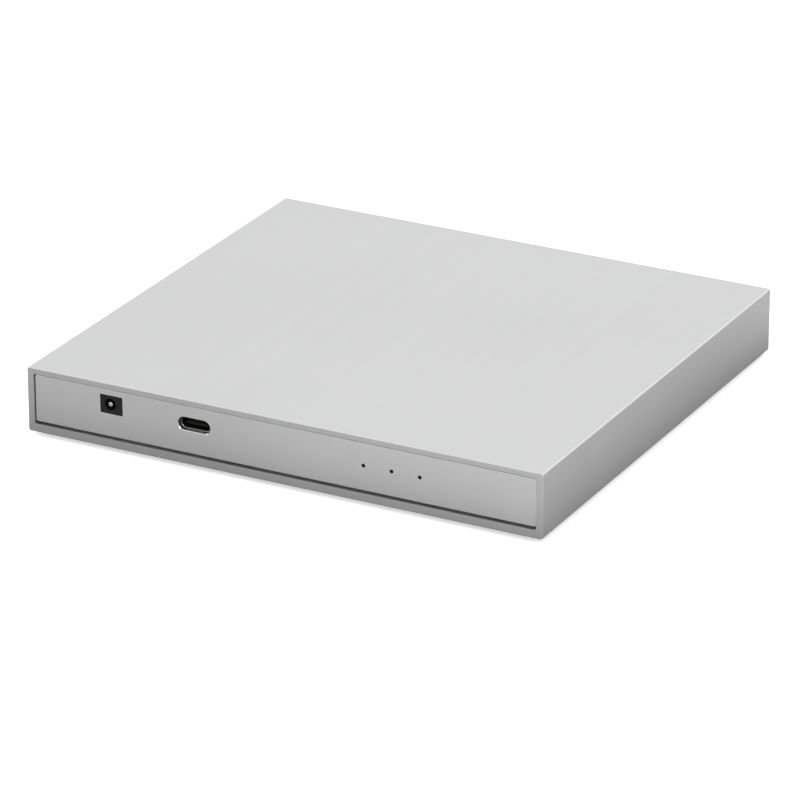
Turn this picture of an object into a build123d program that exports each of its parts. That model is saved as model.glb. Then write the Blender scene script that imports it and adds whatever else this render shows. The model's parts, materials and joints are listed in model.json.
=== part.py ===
from build123d import *
import os

# Dual-bay 2.5 inch drive enclosure, in millimetres.
# The origin is on the table, under the middle of the enclosure. +X is to the right of someone
# who faces the socket panel, +Y runs from the socket panel to the rear, +Z is up.
# An extruded sleeve stands on four feet. A folded tray with the socket panel, the circuit board
# and both drive bays slides out of the sleeve towards -Y once two rear screws are undone.

# Driving dimensions: the drives that the bays take
drive_width = 69.85
drive_length = 100.35
drive_height = 9.5
drive_hole_inset = 4.065
drive_hole_pitch = 76.6
drive_hole_setback = 14.0
drive_plug_height = 3.5
drive_plug_offset = 4.8

# Driving dimensions: room round the drives
bay_gap = 0.75
bay_side_room = 0.675
bay_head_room = 1.8
bay_end_room = 5.35
board_room = 25.3

# Driving dimensions: sleeve and feet
side_wall = 1.8
roof_wall = 1.6
floor_wall = 2.25
sleeve_edge_radius = 0.6
cavity_corner_radius = 0.3
mouth_chamfer = 0.35
rib_reach = 1.3
rib_thickness = 1.2
rib_gap = 0.3
foot_height = 1.2
foot_radius = 4.0
foot_inset_x = 12.0
foot_inset_y = 12.0

# Driving dimensions: socket panel and rear panel
panel_thickness = 2.0
panel_recess = 0.5
panel_side_gap = 0.25
panel_roof_gap = 0.35
panel_floor_gap = 0.65
panel_corner_radius = 0.5
panel_edge_chamfer = 0.12
socket_clearance = 0.1
usb_clearance = 0.2
led_hole_radius = 0.5

# Driving dimensions: folded tray
sheet = 1.0
bend_radius = 0.3
tray_floor_gap = 0.1
tray_side_gap = 0.3
tray_rear_gap = 0.2
tray_wall_height = 8.5
flange_top_gap = 0.4
corner_relief = 1.2
rail_height = 1.55
rail_half_width = 4.3
rail_overrun = 8.0
rail_taper = 18.0
rail_skin = 0.8
drive_screw_hole_radius = 1.7
window_width = 42.0
window_length = 64.0
window_corner_cut = 3.0
adjustment = 0.6

# Driving dimensions: fasteners
thread_clearance = 0.05
hole_clearance = 0.2
small_screw_radius = 1.0
small_head_radius = 1.75
small_head_height = 1.2
panel_screw_bite = 1.2
panel_screw_inset = 12.9
rear_screw_radius = 1.25
rear_head_radius = 2.3
rear_screw_length = 5.0
rear_screw_inset = 10.9
rear_screw_drop = 4.0
running_clearance = 0.08
nut_across_flats = 5.0
nut_height = 1.5
standoff_across_flats = 4.5
standoff_inset = 4.6
standoff_end_inset = 4.0
board_screw_bite = 3.0

# Driving dimensions: circuit board and what it carries
board_thickness = 1.6
board_side_gap = 1.4
board_front_gap = 0.3
board_corner_radius = 1.0
last_led_inset = 34.35
led_pitch = 7.94
led_width = 1.6
led_depth = 1.0
led_height = 0.9
led_corner = 0.25
led_count = 3
jack_inset = 24.7
jack_width = 6.35
jack_height = 4.95
jack_length = 11.5
jack_face_setback = 0.15
jack_bore_radius = 1.6
jack_bore_offset = -0.4
jack_bore_depth = 8.5
jack_pin_radius = 0.65
jack_pin_setback = 0.15
jack_pin_point = 0.2
jack_leaf_thickness = 0.25
jack_leaf_width = 1.8
jack_leaf_length = 5.4
usb_inset = 49.05
usb_width = 8.94
usb_height = 3.26
usb_wall = 0.3
usb_length = 7.35
usb_leg_length = 0.9
usb_face_setback = 1.0
usb_tongue_width = 6.69
usb_tongue_thickness = 0.7
usb_tongue_length = 4.45
usb_tongue_setback = 0.45
usb_contact_pitch = 0.5
usb_contact_width = 0.26
usb_contact_thickness = 0.1
usb_contacts_a_side = 12

# Driving dimensions: drive sockets
socket_width = 35.4
socket_height = 5.0
socket_depth = 8.5
socket_base_depth = 3.4
socket_base_lip = 1.3
socket_base_rise = 0.3
socket_grip = 2.8
socket_slot_depth = 5.0
socket_slot_height = 1.5
socket_key_height = 1.3
socket_key_width = 1.3
socket_lead_in = 0.3
signal_slot_width = 10.7
power_slot_width = 20.9
slot_divider = 1.7
blade_pitch = 1.27
blade_width = 0.6
blade_thickness = 0.25
blade_length = 4.2
signal_blades = 7
power_blades = 15

# Driving dimensions: mode switch
switch_inset = 12.5
switch_width = 5.4
switch_depth = 5.0
switch_height = 2.0
slider_pitch = 2.54
slider_width = 1.1
slider_length = 1.1
slider_travel = 1.2
slider_rise = 0.45
slider_well_depth = 0.9
slider_clearance = 0.08

# Driving dimensions: parts soldered to the board
package_bevel = 0.15
bridge_chip_size = 9.0
bridge_chip_height = 0.9
bridge_chip_x = -4.0
flash_chip_width = 4.9
flash_chip_depth = 3.9
flash_chip_height = 1.5
flash_chip_x = 14.0
lead_thickness = 0.2
lead_width = 0.42
lead_reach = 1.0
lead_pitch = 1.27
leads_a_side = 4
crystal_width = 3.2
crystal_depth = 2.5
crystal_height = 0.8
crystal_x = 4.0
coil_size = 5.0
coil_height = 3.0
coil_corner_cut = 0.8
coil_insets = [10.0, 19.5]
capacitor_width = 4.3
capacitor_length = 7.3
capacitor_height = 2.9
capacitor_insets = [30.0, 36.2]
regulator_size = 3.0
regulator_height = 0.9
regulator_insets = [14.75, 25.0]
chip_part_length = 1.6
chip_part_width = 0.8
chip_part_height = 0.7
chip_row_gap = 2.2
chip_capacitor_offsets = [-12.0, -9.5, -7.0, -4.5]
chip_resistor_offsets = [4.0, 6.5, 9.0]

# Places across the enclosure, worked out from the drives outwards
bay_centre_x = bay_gap / 2 + drive_width / 2
drive_hole_span = drive_width - 2 * drive_hole_inset
tray_inner_x = bay_gap / 2 + drive_width + bay_side_room
tray_outer_x = tray_inner_x + sheet
cavity_half_width = tray_outer_x + tray_side_gap
sleeve_half_width = cavity_half_width + side_wall
panel_width = 2 * (cavity_half_width - panel_side_gap)
board_half_width = tray_inner_x - board_side_gap
panel_screw_x = tray_inner_x - panel_screw_inset
rear_screw_x = tray_inner_x - rear_screw_inset
jack_x = jack_inset - sleeve_half_width
jack_bore_x = jack_x + jack_bore_offset
usb_x = usb_inset - sleeve_half_width
last_led_x = sleeve_half_width - last_led_inset
switch_x = board_half_width - switch_inset

# Heights above the table
sleeve_bottom_z = foot_height
cavity_floor_z = sleeve_bottom_z + floor_wall
tray_bottom_z = cavity_floor_z + tray_floor_gap
tray_floor_z = tray_bottom_z + sheet
rail_z = tray_floor_z + rail_height
drive_plug_z = rail_z + drive_plug_height
board_bottom_z = drive_plug_z - board_thickness / 2
board_top_z = drive_plug_z + board_thickness / 2
tray_wall_top_z = tray_floor_z + tray_wall_height
cavity_roof_z = rail_z + drive_height + bay_head_room
sleeve_top_z = cavity_roof_z + roof_wall
panel_bottom_z = cavity_floor_z + panel_floor_gap
panel_top_z = cavity_roof_z - panel_roof_gap
rib_bottom_z = tray_wall_top_z + rib_gap
flange_top_z = board_bottom_z - flange_top_gap
panel_screw_z = flange_top_z - small_head_radius
rear_screw_z = tray_wall_top_z - rear_screw_drop
usb_z = board_top_z + usb_height / 2
jack_z = board_top_z + jack_height / 2
led_z = board_top_z + led_height / 2

# Places from the front mouth of the sleeve to its rear mouth
sleeve_depth = (
    2 * (panel_recess + panel_thickness + sheet)
    + board_room
    + drive_length
    + bay_end_room
    + tray_rear_gap
)
front_y = -sleeve_depth / 2
rear_y = sleeve_depth / 2
panel_front_y = front_y + panel_recess
panel_back_y = panel_front_y + panel_thickness
flange_back_y = panel_back_y + sheet
socket_face_y = flange_back_y + board_room
drive_front_y = socket_face_y
rear_panel_outer_y = rear_y - panel_recess
rear_panel_inner_y = rear_panel_outer_y - panel_thickness
tray_rear_y = rear_panel_inner_y - tray_rear_gap
rear_flange_y = tray_rear_y - sheet
board_front_y = flange_back_y + board_front_gap
board_rear_y = socket_face_y - socket_depth + socket_grip
socket_back_y = socket_face_y - socket_depth
usb_front_y = panel_front_y + usb_face_setback
jack_front_y = panel_front_y + jack_face_setback
first_hole_y = drive_front_y + drive_hole_setback
second_hole_y = first_hole_y + drive_hole_pitch
parts_row_y = (board_front_y + socket_back_y) / 2


def block(x0, x1, y0, y1, z0, z1):
    """A box between two corners."""
    middle = Pos((x0 + x1) / 2, (y0 + y1) / 2, (z0 + z1) / 2)
    return middle * Box(x1 - x0, y1 - y0, z1 - z0)


def post(x, y, z0, z1, radius):
    """An upright cylinder from z0 to z1."""
    return Pos(x, y, (z0 + z1) / 2) * Cylinder(radius, z1 - z0)


def rod(x, z, y0, y1, radius):
    """A cylinder that lies along Y from y0 to y1."""
    return Pos(x, (y0 + y1) / 2, z) * Rot(90, 0, 0) * Cylinder(radius, y1 - y0)


def along_y(profile, y0, y1):
    """A profile drawn in X and Z, extruded from y0 to y1."""
    plane = Plane(origin=(0, y1, 0), x_dir=(1, 0, 0), z_dir=(0, -1, 0))
    return extrude(plane * profile, amount=y1 - y0)


def along_x(profile, x0, x1):
    """A profile drawn in Y and Z, extruded from x0 to x1."""
    plane = Plane(origin=(x0, 0, 0), x_dir=(0, 1, 0), z_dir=(1, 0, 0))
    return extrude(plane * profile, amount=x1 - x0)


def upright(profile, z0, z1):
    """A profile drawn in X and Y, extruded from z0 to z1."""
    return extrude(Pos(0, 0, z0) * profile, amount=z1 - z0)


def group(solids):
    """Separate solids that share one node."""
    return Compound(children=list(solids))


# Sleeve, rear panel, rear screws and feet


def sleeve():
    """Extruded tube with a guide rib on each side, cut back at both mouths so that the panels seat."""
    mid_z = (sleeve_bottom_z + sleeve_top_z) / 2
    cavity_mid_z = (cavity_floor_z + cavity_roof_z) / 2
    outline = Pos(0, mid_z) * RectangleRounded(
        2 * sleeve_half_width, sleeve_top_z - sleeve_bottom_z, sleeve_edge_radius
    )
    cavity = Pos(0, cavity_mid_z) * RectangleRounded(
        2 * cavity_half_width, cavity_roof_z - cavity_floor_z, cavity_corner_radius
    )
    tube = along_y(outline - cavity, front_y, rear_y)
    mouths = [tube.faces().sort_by(Axis.Y)[0], tube.faces().sort_by(Axis.Y)[-1]]
    outer = [edge for mouth in mouths for edge in mouth.outer_wire().edges()]
    tube = chamfer(outer, mouth_chamfer)
    for side in (-1, 1):
        tube += guide_rib(side)
    return tube


def guide_rib(side):
    """One rib that keeps the tray down. Its root is buried in half the wall."""
    tip = cavity_half_width - rib_reach
    root = cavity_half_width + side_wall / 2
    x0, x1 = sorted((side * tip, side * root))
    top = rib_bottom_z + rib_thickness
    return block(x0, x1, panel_back_y, rear_panel_inner_y, rib_bottom_z, top)


def panel_blank(y_outer, y_inner):
    """A plate that fits a mouth of the sleeve, with rounded corners and a broken outer edge."""
    shape = Pos(0, (panel_bottom_z + panel_top_z) / 2) * RectangleRounded(
        panel_width, panel_top_z - panel_bottom_z, panel_corner_radius
    )
    plate = along_y(shape, min(y_outer, y_inner), max(y_outer, y_inner))
    faces = plate.faces().sort_by(Axis.Y)
    outer_face = faces[0] if y_outer < y_inner else faces[-1]
    return chamfer(outer_face.outer_wire().edges(), panel_edge_chamfer)


def rear_panel():
    """Plate at the rear mouth, countersunk for the two screws that hold the tray in."""
    plate = panel_blank(rear_panel_outer_y, rear_panel_inner_y)
    for x in (-rear_screw_x, rear_screw_x):
        hole = rod(x, rear_screw_z, rear_panel_inner_y, rear_panel_outer_y,
                   rear_screw_radius + hole_clearance)
        plate -= hole
        plate -= rear_head(x, running_clearance)
    return plate


def rear_head(x, clearance):
    """The countersunk head of a rear screw, grown by a clearance for its seat."""
    depth = rear_head_radius - rear_screw_radius
    cone = Cone(rear_screw_radius + clearance, rear_head_radius + clearance, depth)
    place = Pos(x, rear_panel_outer_y - depth / 2, rear_screw_z) * Rot(-90, 0, 0)
    return place * cone


def rear_screws():
    """Two countersunk screws that pass through the rear panel into the tray's clinch nuts."""
    screws = []
    for x in (-rear_screw_x, rear_screw_x):
        tip_y = rear_panel_outer_y - rear_screw_length
        head_y = rear_panel_outer_y - (rear_head_radius - rear_screw_radius)
        shank = rod(x, rear_screw_z, tip_y, head_y, rear_screw_radius)
        screws.append(shank + rear_head(x, 0))
    return group(screws)


def foot(x, y):
    """A flat rubber foot stuck to the underside."""
    return post(x, y, 0, foot_height, foot_radius)


# Socket panel and folded tray


def front_panel():
    """The plate with the power jack, the data socket and the three lamp holes."""
    plate = panel_blank(panel_front_y, panel_back_y)
    jack = Pos(jack_x, jack_z) * Rectangle(
        jack_width + 2 * socket_clearance, jack_height + 2 * socket_clearance
    )
    usb = Pos(usb_x, usb_z) * SlotOverall(
        usb_width + 2 * usb_clearance, usb_height + 2 * usb_clearance
    )
    plate -= along_y(jack, panel_front_y, panel_back_y)
    plate -= along_y(usb, panel_front_y, panel_back_y)
    for x in led_places():
        plate -= rod(x, led_z, panel_front_y, panel_back_y, led_hole_radius)
    for x in (-panel_screw_x, panel_screw_x):
        depth = panel_screw_bite + hole_clearance
        plate -= rod(x, panel_screw_z, panel_back_y - depth, panel_back_y,
                     small_screw_radius + thread_clearance)
    return plate


def led_places():
    """The places of the three lamps along X."""
    return [last_led_x - (led_count - 1 - n) * led_pitch for n in range(led_count)]


def channel(half_width, height, base_z):
    """Outline of a folded channel: a floor with two walls, rounded at the bends."""
    outer = Pos(0, base_z + height / 2) * Rectangle(2 * half_width, height)
    lower = outer.vertices().group_by(Axis.Y)[0]
    outer = fillet(lower, bend_radius + sheet)
    inner_height = height - sheet
    inner = Pos(0, base_z + sheet + inner_height / 2) * Rectangle(
        2 * (half_width - sheet), inner_height
    )
    lower = inner.vertices().group_by(Axis.Y)[0]
    return outer - fillet(lower, bend_radius)


def drive_tray():
    """Folded sheet with walls and end flanges, pressed rails, a window under each drive and holes."""
    relief_x = tray_inner_x - corner_relief
    relief_front = flange_back_y + corner_relief
    relief_rear = rear_flange_y - corner_relief
    walls = along_y(
        channel(tray_outer_x, tray_wall_top_z - tray_bottom_z, tray_bottom_z),
        relief_front,
        relief_rear,
    )
    half_length = (tray_rear_y - panel_back_y) / 2
    middle_y = (tray_rear_y + panel_back_y) / 2
    ends = Pos(middle_y, 0) * channel(
        half_length, tray_wall_top_z - tray_bottom_z, tray_bottom_z
    )
    tray = walls + along_x(ends, -relief_x, relief_x)
    low_front = block(-relief_x, relief_x, panel_back_y, flange_back_y,
                      flange_top_z, tray_wall_top_z)
    tray -= low_front
    for centre_x, half_width in rail_places():
        tray += rail(centre_x, half_width, 0, tray_floor_z)
        tray -= rail(centre_x, half_width, rail_skin, tray_bottom_z)
    for bay_x in (-bay_centre_x, bay_centre_x):
        tray -= floor_window(bay_x)
        for x, y in drive_hole_places(bay_x):
            tray -= post(x, y, tray_bottom_z, rail_z, drive_screw_hole_radius)
    for x, y in standoff_places():
        tray -= upright(Pos(x, y) * standoff_hexagon(), tray_bottom_z, tray_floor_z)
    for x in (-panel_screw_x, panel_screw_x):
        tray -= flange_slot(x, panel_screw_z, small_screw_radius, panel_back_y)
    for x in (-rear_screw_x, rear_screw_x):
        tray -= flange_slot(x, rear_screw_z, rear_screw_radius, rear_flange_y)
    return tray


def floor_window(bay_x):
    """The opening in the floor under one drive, with its corners cut off."""
    outline = chamfer(Rectangle(window_width, window_length).vertices(), window_corner_cut)
    middle_y = (first_hole_y + second_hole_y) / 2
    return upright(Pos(bay_x, middle_y) * outline, tray_bottom_z, tray_floor_z)


def drive_hole_places(bay_x):
    """Where the four bottom holes of a drive come."""
    half = drive_hole_span / 2
    return [(bay_x + side * half, y) for y in (first_hole_y, second_hole_y) for side in (-1, 1)]


def rail_places():
    """Middle and half width of each pressed rail: one at each side and a wide one for both drives."""
    side_x = bay_centre_x + drive_hole_span / 2
    inner_x = bay_centre_x - drive_hole_span / 2
    return [
        (-side_x, rail_half_width),
        (0, inner_x + rail_half_width),
        (side_x, rail_half_width),
    ]


def rail(centre_x, half_width, inset, base_z):
    """A long tapered block: the top of a pressed rail or, with an inset, the hollow under it."""
    length = drive_hole_pitch + 2 * rail_overrun
    outline = Rectangle(2 * (half_width - inset), length - 2 * inset)
    base = Pos(centre_x, (first_hole_y + second_hole_y) / 2, base_z) * outline
    return extrude(base, amount=rail_height, taper=rail_taper)


def flange_slot(x, z, screw_radius, y0):
    """A short level slot in a flange, so that the panel can be set sideways before it is tightened."""
    width = 2 * (screw_radius + hole_clearance)
    return along_y(Pos(x, z) * SlotOverall(width + adjustment, width), y0, y0 + sheet)


def front_panel_screws():
    """Small screws that hold the socket panel from behind, through the tray's front flange."""
    screws = []
    for x in (-panel_screw_x, panel_screw_x):
        head = rod(x, panel_screw_z, flange_back_y, flange_back_y + small_head_height,
                   small_head_radius)
        shank = rod(x, panel_screw_z, panel_back_y - panel_screw_bite, flange_back_y,
                    small_screw_radius)
        screws.append(head + shank)
    return group(screws)


def clinch_nuts():
    """Two hexagonal nuts pressed on the inner face of the rear flange."""
    nuts = []
    for x in (-rear_screw_x, rear_screw_x):
        hexagon = RegularPolygon(nut_across_flats / 2, 6, major_radius=False)
        ring = hexagon - Circle(rear_screw_radius + running_clearance)
        nuts.append(along_y(Pos(x, rear_screw_z) * ring, rear_flange_y - nut_height, rear_flange_y))
    return group(nuts)


# Circuit board and its fastening


def standoff_places():
    """The four corners of the board."""
    front = board_front_y + standoff_end_inset
    rear = board_rear_y - standoff_end_inset
    side = board_half_width - standoff_inset
    return [(x, y) for x in (-side, side) for y in (front, rear)]


def socket_places():
    """The middles of the two drive sockets along X, off the middle of each bay as on the drives."""
    return [-bay_centre_x - drive_plug_offset, bay_centre_x - drive_plug_offset]


def standoff_hexagon():
    """Outline of a standoff."""
    return RegularPolygon(standoff_across_flats / 2, 6, major_radius=False)


def board_standoffs():
    """Hexagonal standoffs pressed into the tray floor, flush underneath."""
    ring = standoff_hexagon() - Circle(small_screw_radius + thread_clearance)
    return group(
        upright(Pos(x, y) * ring, tray_bottom_z, board_bottom_z) for x, y in standoff_places()
    )


def board_screws():
    """Small screws that hold the board on its standoffs."""
    screws = []
    for x, y in standoff_places():
        head = post(x, y, board_top_z, board_top_z + small_head_height, small_head_radius)
        shank = post(x, y, board_bottom_z - board_screw_bite, board_top_z, small_screw_radius)
        screws.append(head + shank)
    return group(screws)


def main_board():
    """The circuit board, with its screw holes and the holes for the socket and jack legs."""
    length = board_rear_y - board_front_y
    outline = Pos(0, (board_front_y + board_rear_y) / 2) * RectangleRounded(
        2 * board_half_width, length, board_corner_radius
    )
    for x, y in standoff_places():
        outline -= Pos(x, y) * Circle(small_screw_radius + hole_clearance)
    board = upright(outline, board_bottom_z, board_top_z)
    for leg in usb_legs(socket_clearance) + jack_legs(socket_clearance):
        board -= leg
    return board


def leg(x, y, width, depth, clearance):
    """A flat solder leg that goes through the board, grown by a clearance for its hole."""
    half_x = width / 2 + clearance
    half_y = depth / 2 + clearance
    return block(x - half_x, x + half_x, y - half_y, y + half_y, board_bottom_z, board_top_z)


# Data socket


def usb_legs(clearance):
    """The four legs of the data socket's shell."""
    side = usb_width / 2 - usb_wall / 2
    front = board_front_y + usb_leg_length
    rear = usb_front_y + usb_length - usb_leg_length
    return [
        leg(usb_x + s * side, y, usb_wall, usb_leg_length, clearance)
        for s in (-1, 1)
        for y in (front, rear)
    ]


def usb_c_shell():
    """The drawn steel shell with its legs."""
    outer = SlotOverall(usb_width, usb_height)
    inner = SlotOverall(usb_width - 2 * usb_wall, usb_height - 2 * usb_wall)
    ring = Pos(usb_x, usb_z) * (outer - inner)
    shell = along_y(ring, usb_front_y, usb_front_y + usb_length)
    for peg in usb_legs(0):
        x = peg.center().X
        y = peg.center().Y
        web = block(x - usb_wall / 2, x + usb_wall / 2,
                    y - usb_leg_length / 2, y + usb_leg_length / 2, board_top_z, usb_z)
        shell += peg + web
    return shell


def usb_tongue_root_y():
    """Where the tongue leaves the block at the back of the data socket."""
    return usb_front_y + usb_tongue_setback + usb_tongue_length


def usb_c_insulator():
    """The moulded block that closes the shell behind, with the tongue that stands in it."""
    fill = Pos(usb_x, usb_z) * SlotOverall(usb_width - 2 * usb_wall, usb_height - 2 * usb_wall)
    root_y = usb_tongue_root_y()
    body = along_y(fill, root_y, usb_front_y + usb_length)
    half = usb_tongue_width / 2
    thick = usb_tongue_thickness / 2
    tongue = block(usb_x - half, usb_x + half, usb_front_y + usb_tongue_setback, root_y,
                   usb_z - thick, usb_z + thick)
    nose = tongue.edges().filter_by(Axis.Z).group_by(Axis.Y)[0]
    return body + fillet(nose, usb_tongue_thickness)


def usb_c_contacts():
    """Flat contacts on both faces of the tongue."""
    strips = []
    first = usb_x - usb_contact_pitch * (usb_contacts_a_side - 1) / 2
    y0 = usb_front_y + usb_tongue_setback + usb_tongue_thickness
    half = usb_contact_width / 2
    face = usb_tongue_thickness / 2
    for n in range(usb_contacts_a_side):
        x = first + n * usb_contact_pitch
        for z0 in (usb_z + face, usb_z - face - usb_contact_thickness):
            strips.append(block(x - half, x + half, y0, usb_tongue_root_y(),
                                z0, z0 + usb_contact_thickness))
    return group(strips)


# Power jack


def jack_legs(clearance):
    """The two solder legs of the power jack: the pin's behind, the leaf's in front of it."""
    rear = jack_front_y + jack_length - jack_pin_radius
    front = jack_front_y + jack_bore_depth - jack_leaf_width
    return [
        leg(jack_bore_x, rear, 2 * jack_pin_radius, jack_pin_radius, clearance),
        leg(jack_bore_x + jack_bore_radius, front, jack_leaf_thickness, jack_leaf_width, clearance),
    ]


def jack_leaf(clearance):
    """The contact leaf beside the bore, grown by a clearance for its pocket."""
    x0 = jack_bore_x + jack_bore_radius - jack_leaf_thickness / 2 - clearance
    x1 = jack_bore_x + jack_bore_radius + jack_leaf_thickness / 2 + clearance
    half = jack_leaf_width / 2 + clearance
    y1 = jack_front_y + jack_bore_depth
    strip = block(x0, x1, y1 - jack_leaf_length, y1, jack_z - half, jack_z + half)
    y = jack_legs(0)[1].center().Y
    drop = block(x0, x1, y - half, y + half, board_top_z, jack_z)
    return strip + drop


def dc_jack_housing():
    """The moulded block of the power jack, with its bore and the pockets of its contacts."""
    half = jack_width / 2
    body = block(jack_x - half, jack_x + half, jack_front_y, jack_front_y + jack_length,
                 board_top_z, board_top_z + jack_height)
    bore_end = jack_front_y + jack_bore_depth
    body -= rod(jack_bore_x, jack_z, jack_front_y, bore_end, jack_bore_radius)
    rear_y_of_body = jack_front_y + jack_length
    body -= rod(jack_bore_x, jack_z, jack_front_y, rear_y_of_body, jack_pin_radius)
    rear_leg = jack_legs(0)[0]
    y = rear_leg.center().Y
    body -= block(jack_bore_x - jack_pin_radius, jack_bore_x + jack_pin_radius,
                  y - jack_pin_radius / 2, rear_y_of_body, board_top_z, jack_z)
    body -= jack_leaf(0)
    return body


def dc_jack_pin():
    """The centre pin, with a rounded tip, and its solder leg."""
    rear_leg = jack_legs(0)[0]
    y = rear_leg.center().Y
    pin = rod(jack_bore_x, jack_z, jack_front_y + jack_pin_setback, y + jack_pin_radius / 2,
              jack_pin_radius)
    pin = chamfer(pin.edges().sort_by(Axis.Y)[0], jack_pin_point)
    drop = block(jack_bore_x - jack_pin_radius, jack_bore_x + jack_pin_radius,
                 y - jack_pin_radius / 2, y + jack_pin_radius / 2, board_top_z, jack_z)
    return pin + drop + rear_leg


def dc_jack_spring():
    """The leaf that presses on the side of a power plug."""
    return jack_leaf(0) + jack_legs(0)[1]


# Drive sockets


def l_slot(x0, width, key_side):
    """One keyed slot of a drive socket: a flat slot with a leg at one end."""
    half = socket_slot_height / 2
    y0 = socket_face_y - socket_slot_depth
    flat = block(x0, x0 + width, y0, socket_face_y, drive_plug_z - half, drive_plug_z + half)
    key_x = x0 if key_side < 0 else x0 + width - socket_key_width
    key = block(key_x, key_x + socket_key_width, y0, socket_face_y,
                drive_plug_z - half - socket_key_height, drive_plug_z)
    return flat + key


def slot_starts(middle_x):
    """Where the signal slot and the power slot of a drive socket start along X."""
    both = signal_slot_width + slot_divider + power_slot_width
    signal_x = middle_x - both / 2
    return signal_x, signal_x + signal_slot_width + slot_divider


def sata_receptacle(middle_x):
    """A drive socket on the board's edge: a nose with two keyed slots on a wider base."""
    half = socket_width / 2
    half_height = socket_height / 2
    nose = block(middle_x - half, middle_x + half, socket_back_y, socket_face_y,
                 drive_plug_z - half_height, drive_plug_z + half_height)
    nose = chamfer(nose.faces().sort_by(Axis.Y)[-1].edges(), socket_lead_in)
    base_half = half + socket_base_lip
    base_half_height = half_height + socket_base_rise
    base = block(middle_x - base_half, middle_x + base_half,
                 socket_back_y, socket_back_y + socket_base_depth,
                 drive_plug_z - base_half_height, drive_plug_z + base_half_height)
    signal_x, power_x = slot_starts(middle_x)
    body = nose + base
    body -= l_slot(signal_x, signal_slot_width, -1)
    body -= l_slot(power_x, power_slot_width, 1)
    body -= block(middle_x - base_half, middle_x + base_half, socket_back_y, board_rear_y,
                  board_bottom_z, board_top_z)
    return body


def sata_contacts(middle_x):
    """The blades in both slots of a drive socket."""
    pieces = []
    top = drive_plug_z + socket_slot_height / 2
    signal_x, power_x = slot_starts(middle_x)
    rows = [
        (signal_x, signal_slot_width, signal_blades),
        (power_x, power_slot_width, power_blades),
    ]
    for start_x, width, count in rows:
        first = start_x + width / 2 - blade_pitch * (count - 1) / 2
        for n in range(count):
            x0 = first + n * blade_pitch - blade_width / 2
            y0 = socket_face_y - socket_slot_depth
            pieces.append(block(x0, x0 + blade_width, y0, y0 + blade_length,
                                top - blade_thickness, top))
    return group(pieces)


# Mode switch


def switch_box():
    """Lowest and highest places of the mode switch in X and Y."""
    return (
        switch_x - switch_width / 2,
        switch_x + switch_width / 2,
        parts_row_y - switch_depth / 2,
        parts_row_y + switch_depth / 2,
    )


def slider_places():
    """The middles of the two sliders along X."""
    return [switch_x - slider_pitch / 2, switch_x + slider_pitch / 2]


def mode_switch_housing():
    """A two-way switch body with a well for each slider."""
    x0, x1, y0, y1 = switch_box()
    top = board_top_z + switch_height
    body = block(x0, x1, y0, y1, board_top_z, top)
    for x in slider_places():
        half_x = slider_width / 2 + slider_clearance
        half_y = (slider_length + slider_travel) / 2 + slider_clearance
        body -= block(x - half_x, x + half_x, parts_row_y - half_y, parts_row_y + half_y,
                      top - slider_well_depth, top)
    return body


def mode_slider(x):
    """One slider, at the front end of its well."""
    top = board_top_z + switch_height
    y0 = parts_row_y - (slider_length + slider_travel) / 2
    return block(x - slider_width / 2, x + slider_width / 2, y0, y0 + slider_length,
                 top - slider_well_depth + slider_clearance, top + slider_rise)


# Parts soldered to the board


def status_led(x):
    """A side-facing lamp at the front edge of the board."""
    y0 = board_front_y
    body = block(x - led_width / 2, x + led_width / 2, y0, y0 + led_depth,
                 board_top_z, board_top_z + led_height)
    front = body.faces().sort_by(Axis.Y)[0].edges().filter_by(Axis.Z)
    return chamfer(front, led_corner)


def flat_chip(x, width, depth, height):
    """A flat package with a bevelled top edge."""
    body = block(x - width / 2, x + width / 2, parts_row_y - depth / 2, parts_row_y + depth / 2,
                 board_top_z, board_top_z + height)
    return chamfer(body.faces().sort_by(Axis.Z)[-1].edges(), package_bevel)


def firmware_chip():
    """A small package with four bent leads on each long side."""
    body = flat_chip(flash_chip_x, flash_chip_width, flash_chip_depth, flash_chip_height)
    half_height = flash_chip_height / 2
    for side in (-1, 1):
        edge = parts_row_y + side * flash_chip_depth / 2
        knee = edge + side * lead_reach / 2
        toe = edge + side * lead_reach
        for n in range(leads_a_side):
            x = flash_chip_x + (n - (leads_a_side - 1) / 2) * lead_pitch
            x0, x1 = x - lead_width / 2, x + lead_width / 2
            up = board_top_z + half_height
            body += block(x0, x1, min(edge, knee), max(edge, knee), up - lead_thickness, up)
            inner = knee - side * lead_thickness
            body += block(x0, x1, min(inner, knee), max(inner, knee), board_top_z, up)
            body += block(x0, x1, min(inner, toe), max(inner, toe),
                          board_top_z, board_top_z + lead_thickness)
    return body


def power_coil(x):
    """A moulded coil: a square block with clipped corners and a bevelled top."""
    outline = chamfer(Rectangle(coil_size, coil_size).vertices(), coil_corner_cut)
    body = upright(Pos(x, parts_row_y) * outline, board_top_z, board_top_z + coil_height)
    return chamfer(body.faces().sort_by(Axis.Z)[-1].edges(), package_bevel)


def power_capacitor(x):
    """A large moulded capacitor with its long side along Y."""
    return flat_chip(x, capacitor_width, capacitor_length, capacitor_height)


def chip_parts(offsets):
    """Small blocks in a row beside each drive socket."""
    half = chip_part_width / 2
    y1 = socket_back_y - chip_row_gap + chip_part_length / 2
    top = board_top_z + chip_part_height
    places = [middle_x + offset for middle_x in socket_places() for offset in offsets]
    return group(
        block(x - half, x + half, y1 - chip_part_length, y1, board_top_z, top) for x in places
    )


def from_both_edges(insets):
    """A place near the board's left edge and one near its right edge, by side."""
    return [("left", insets[0] - board_half_width), ("right", board_half_width - insets[1])]


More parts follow.
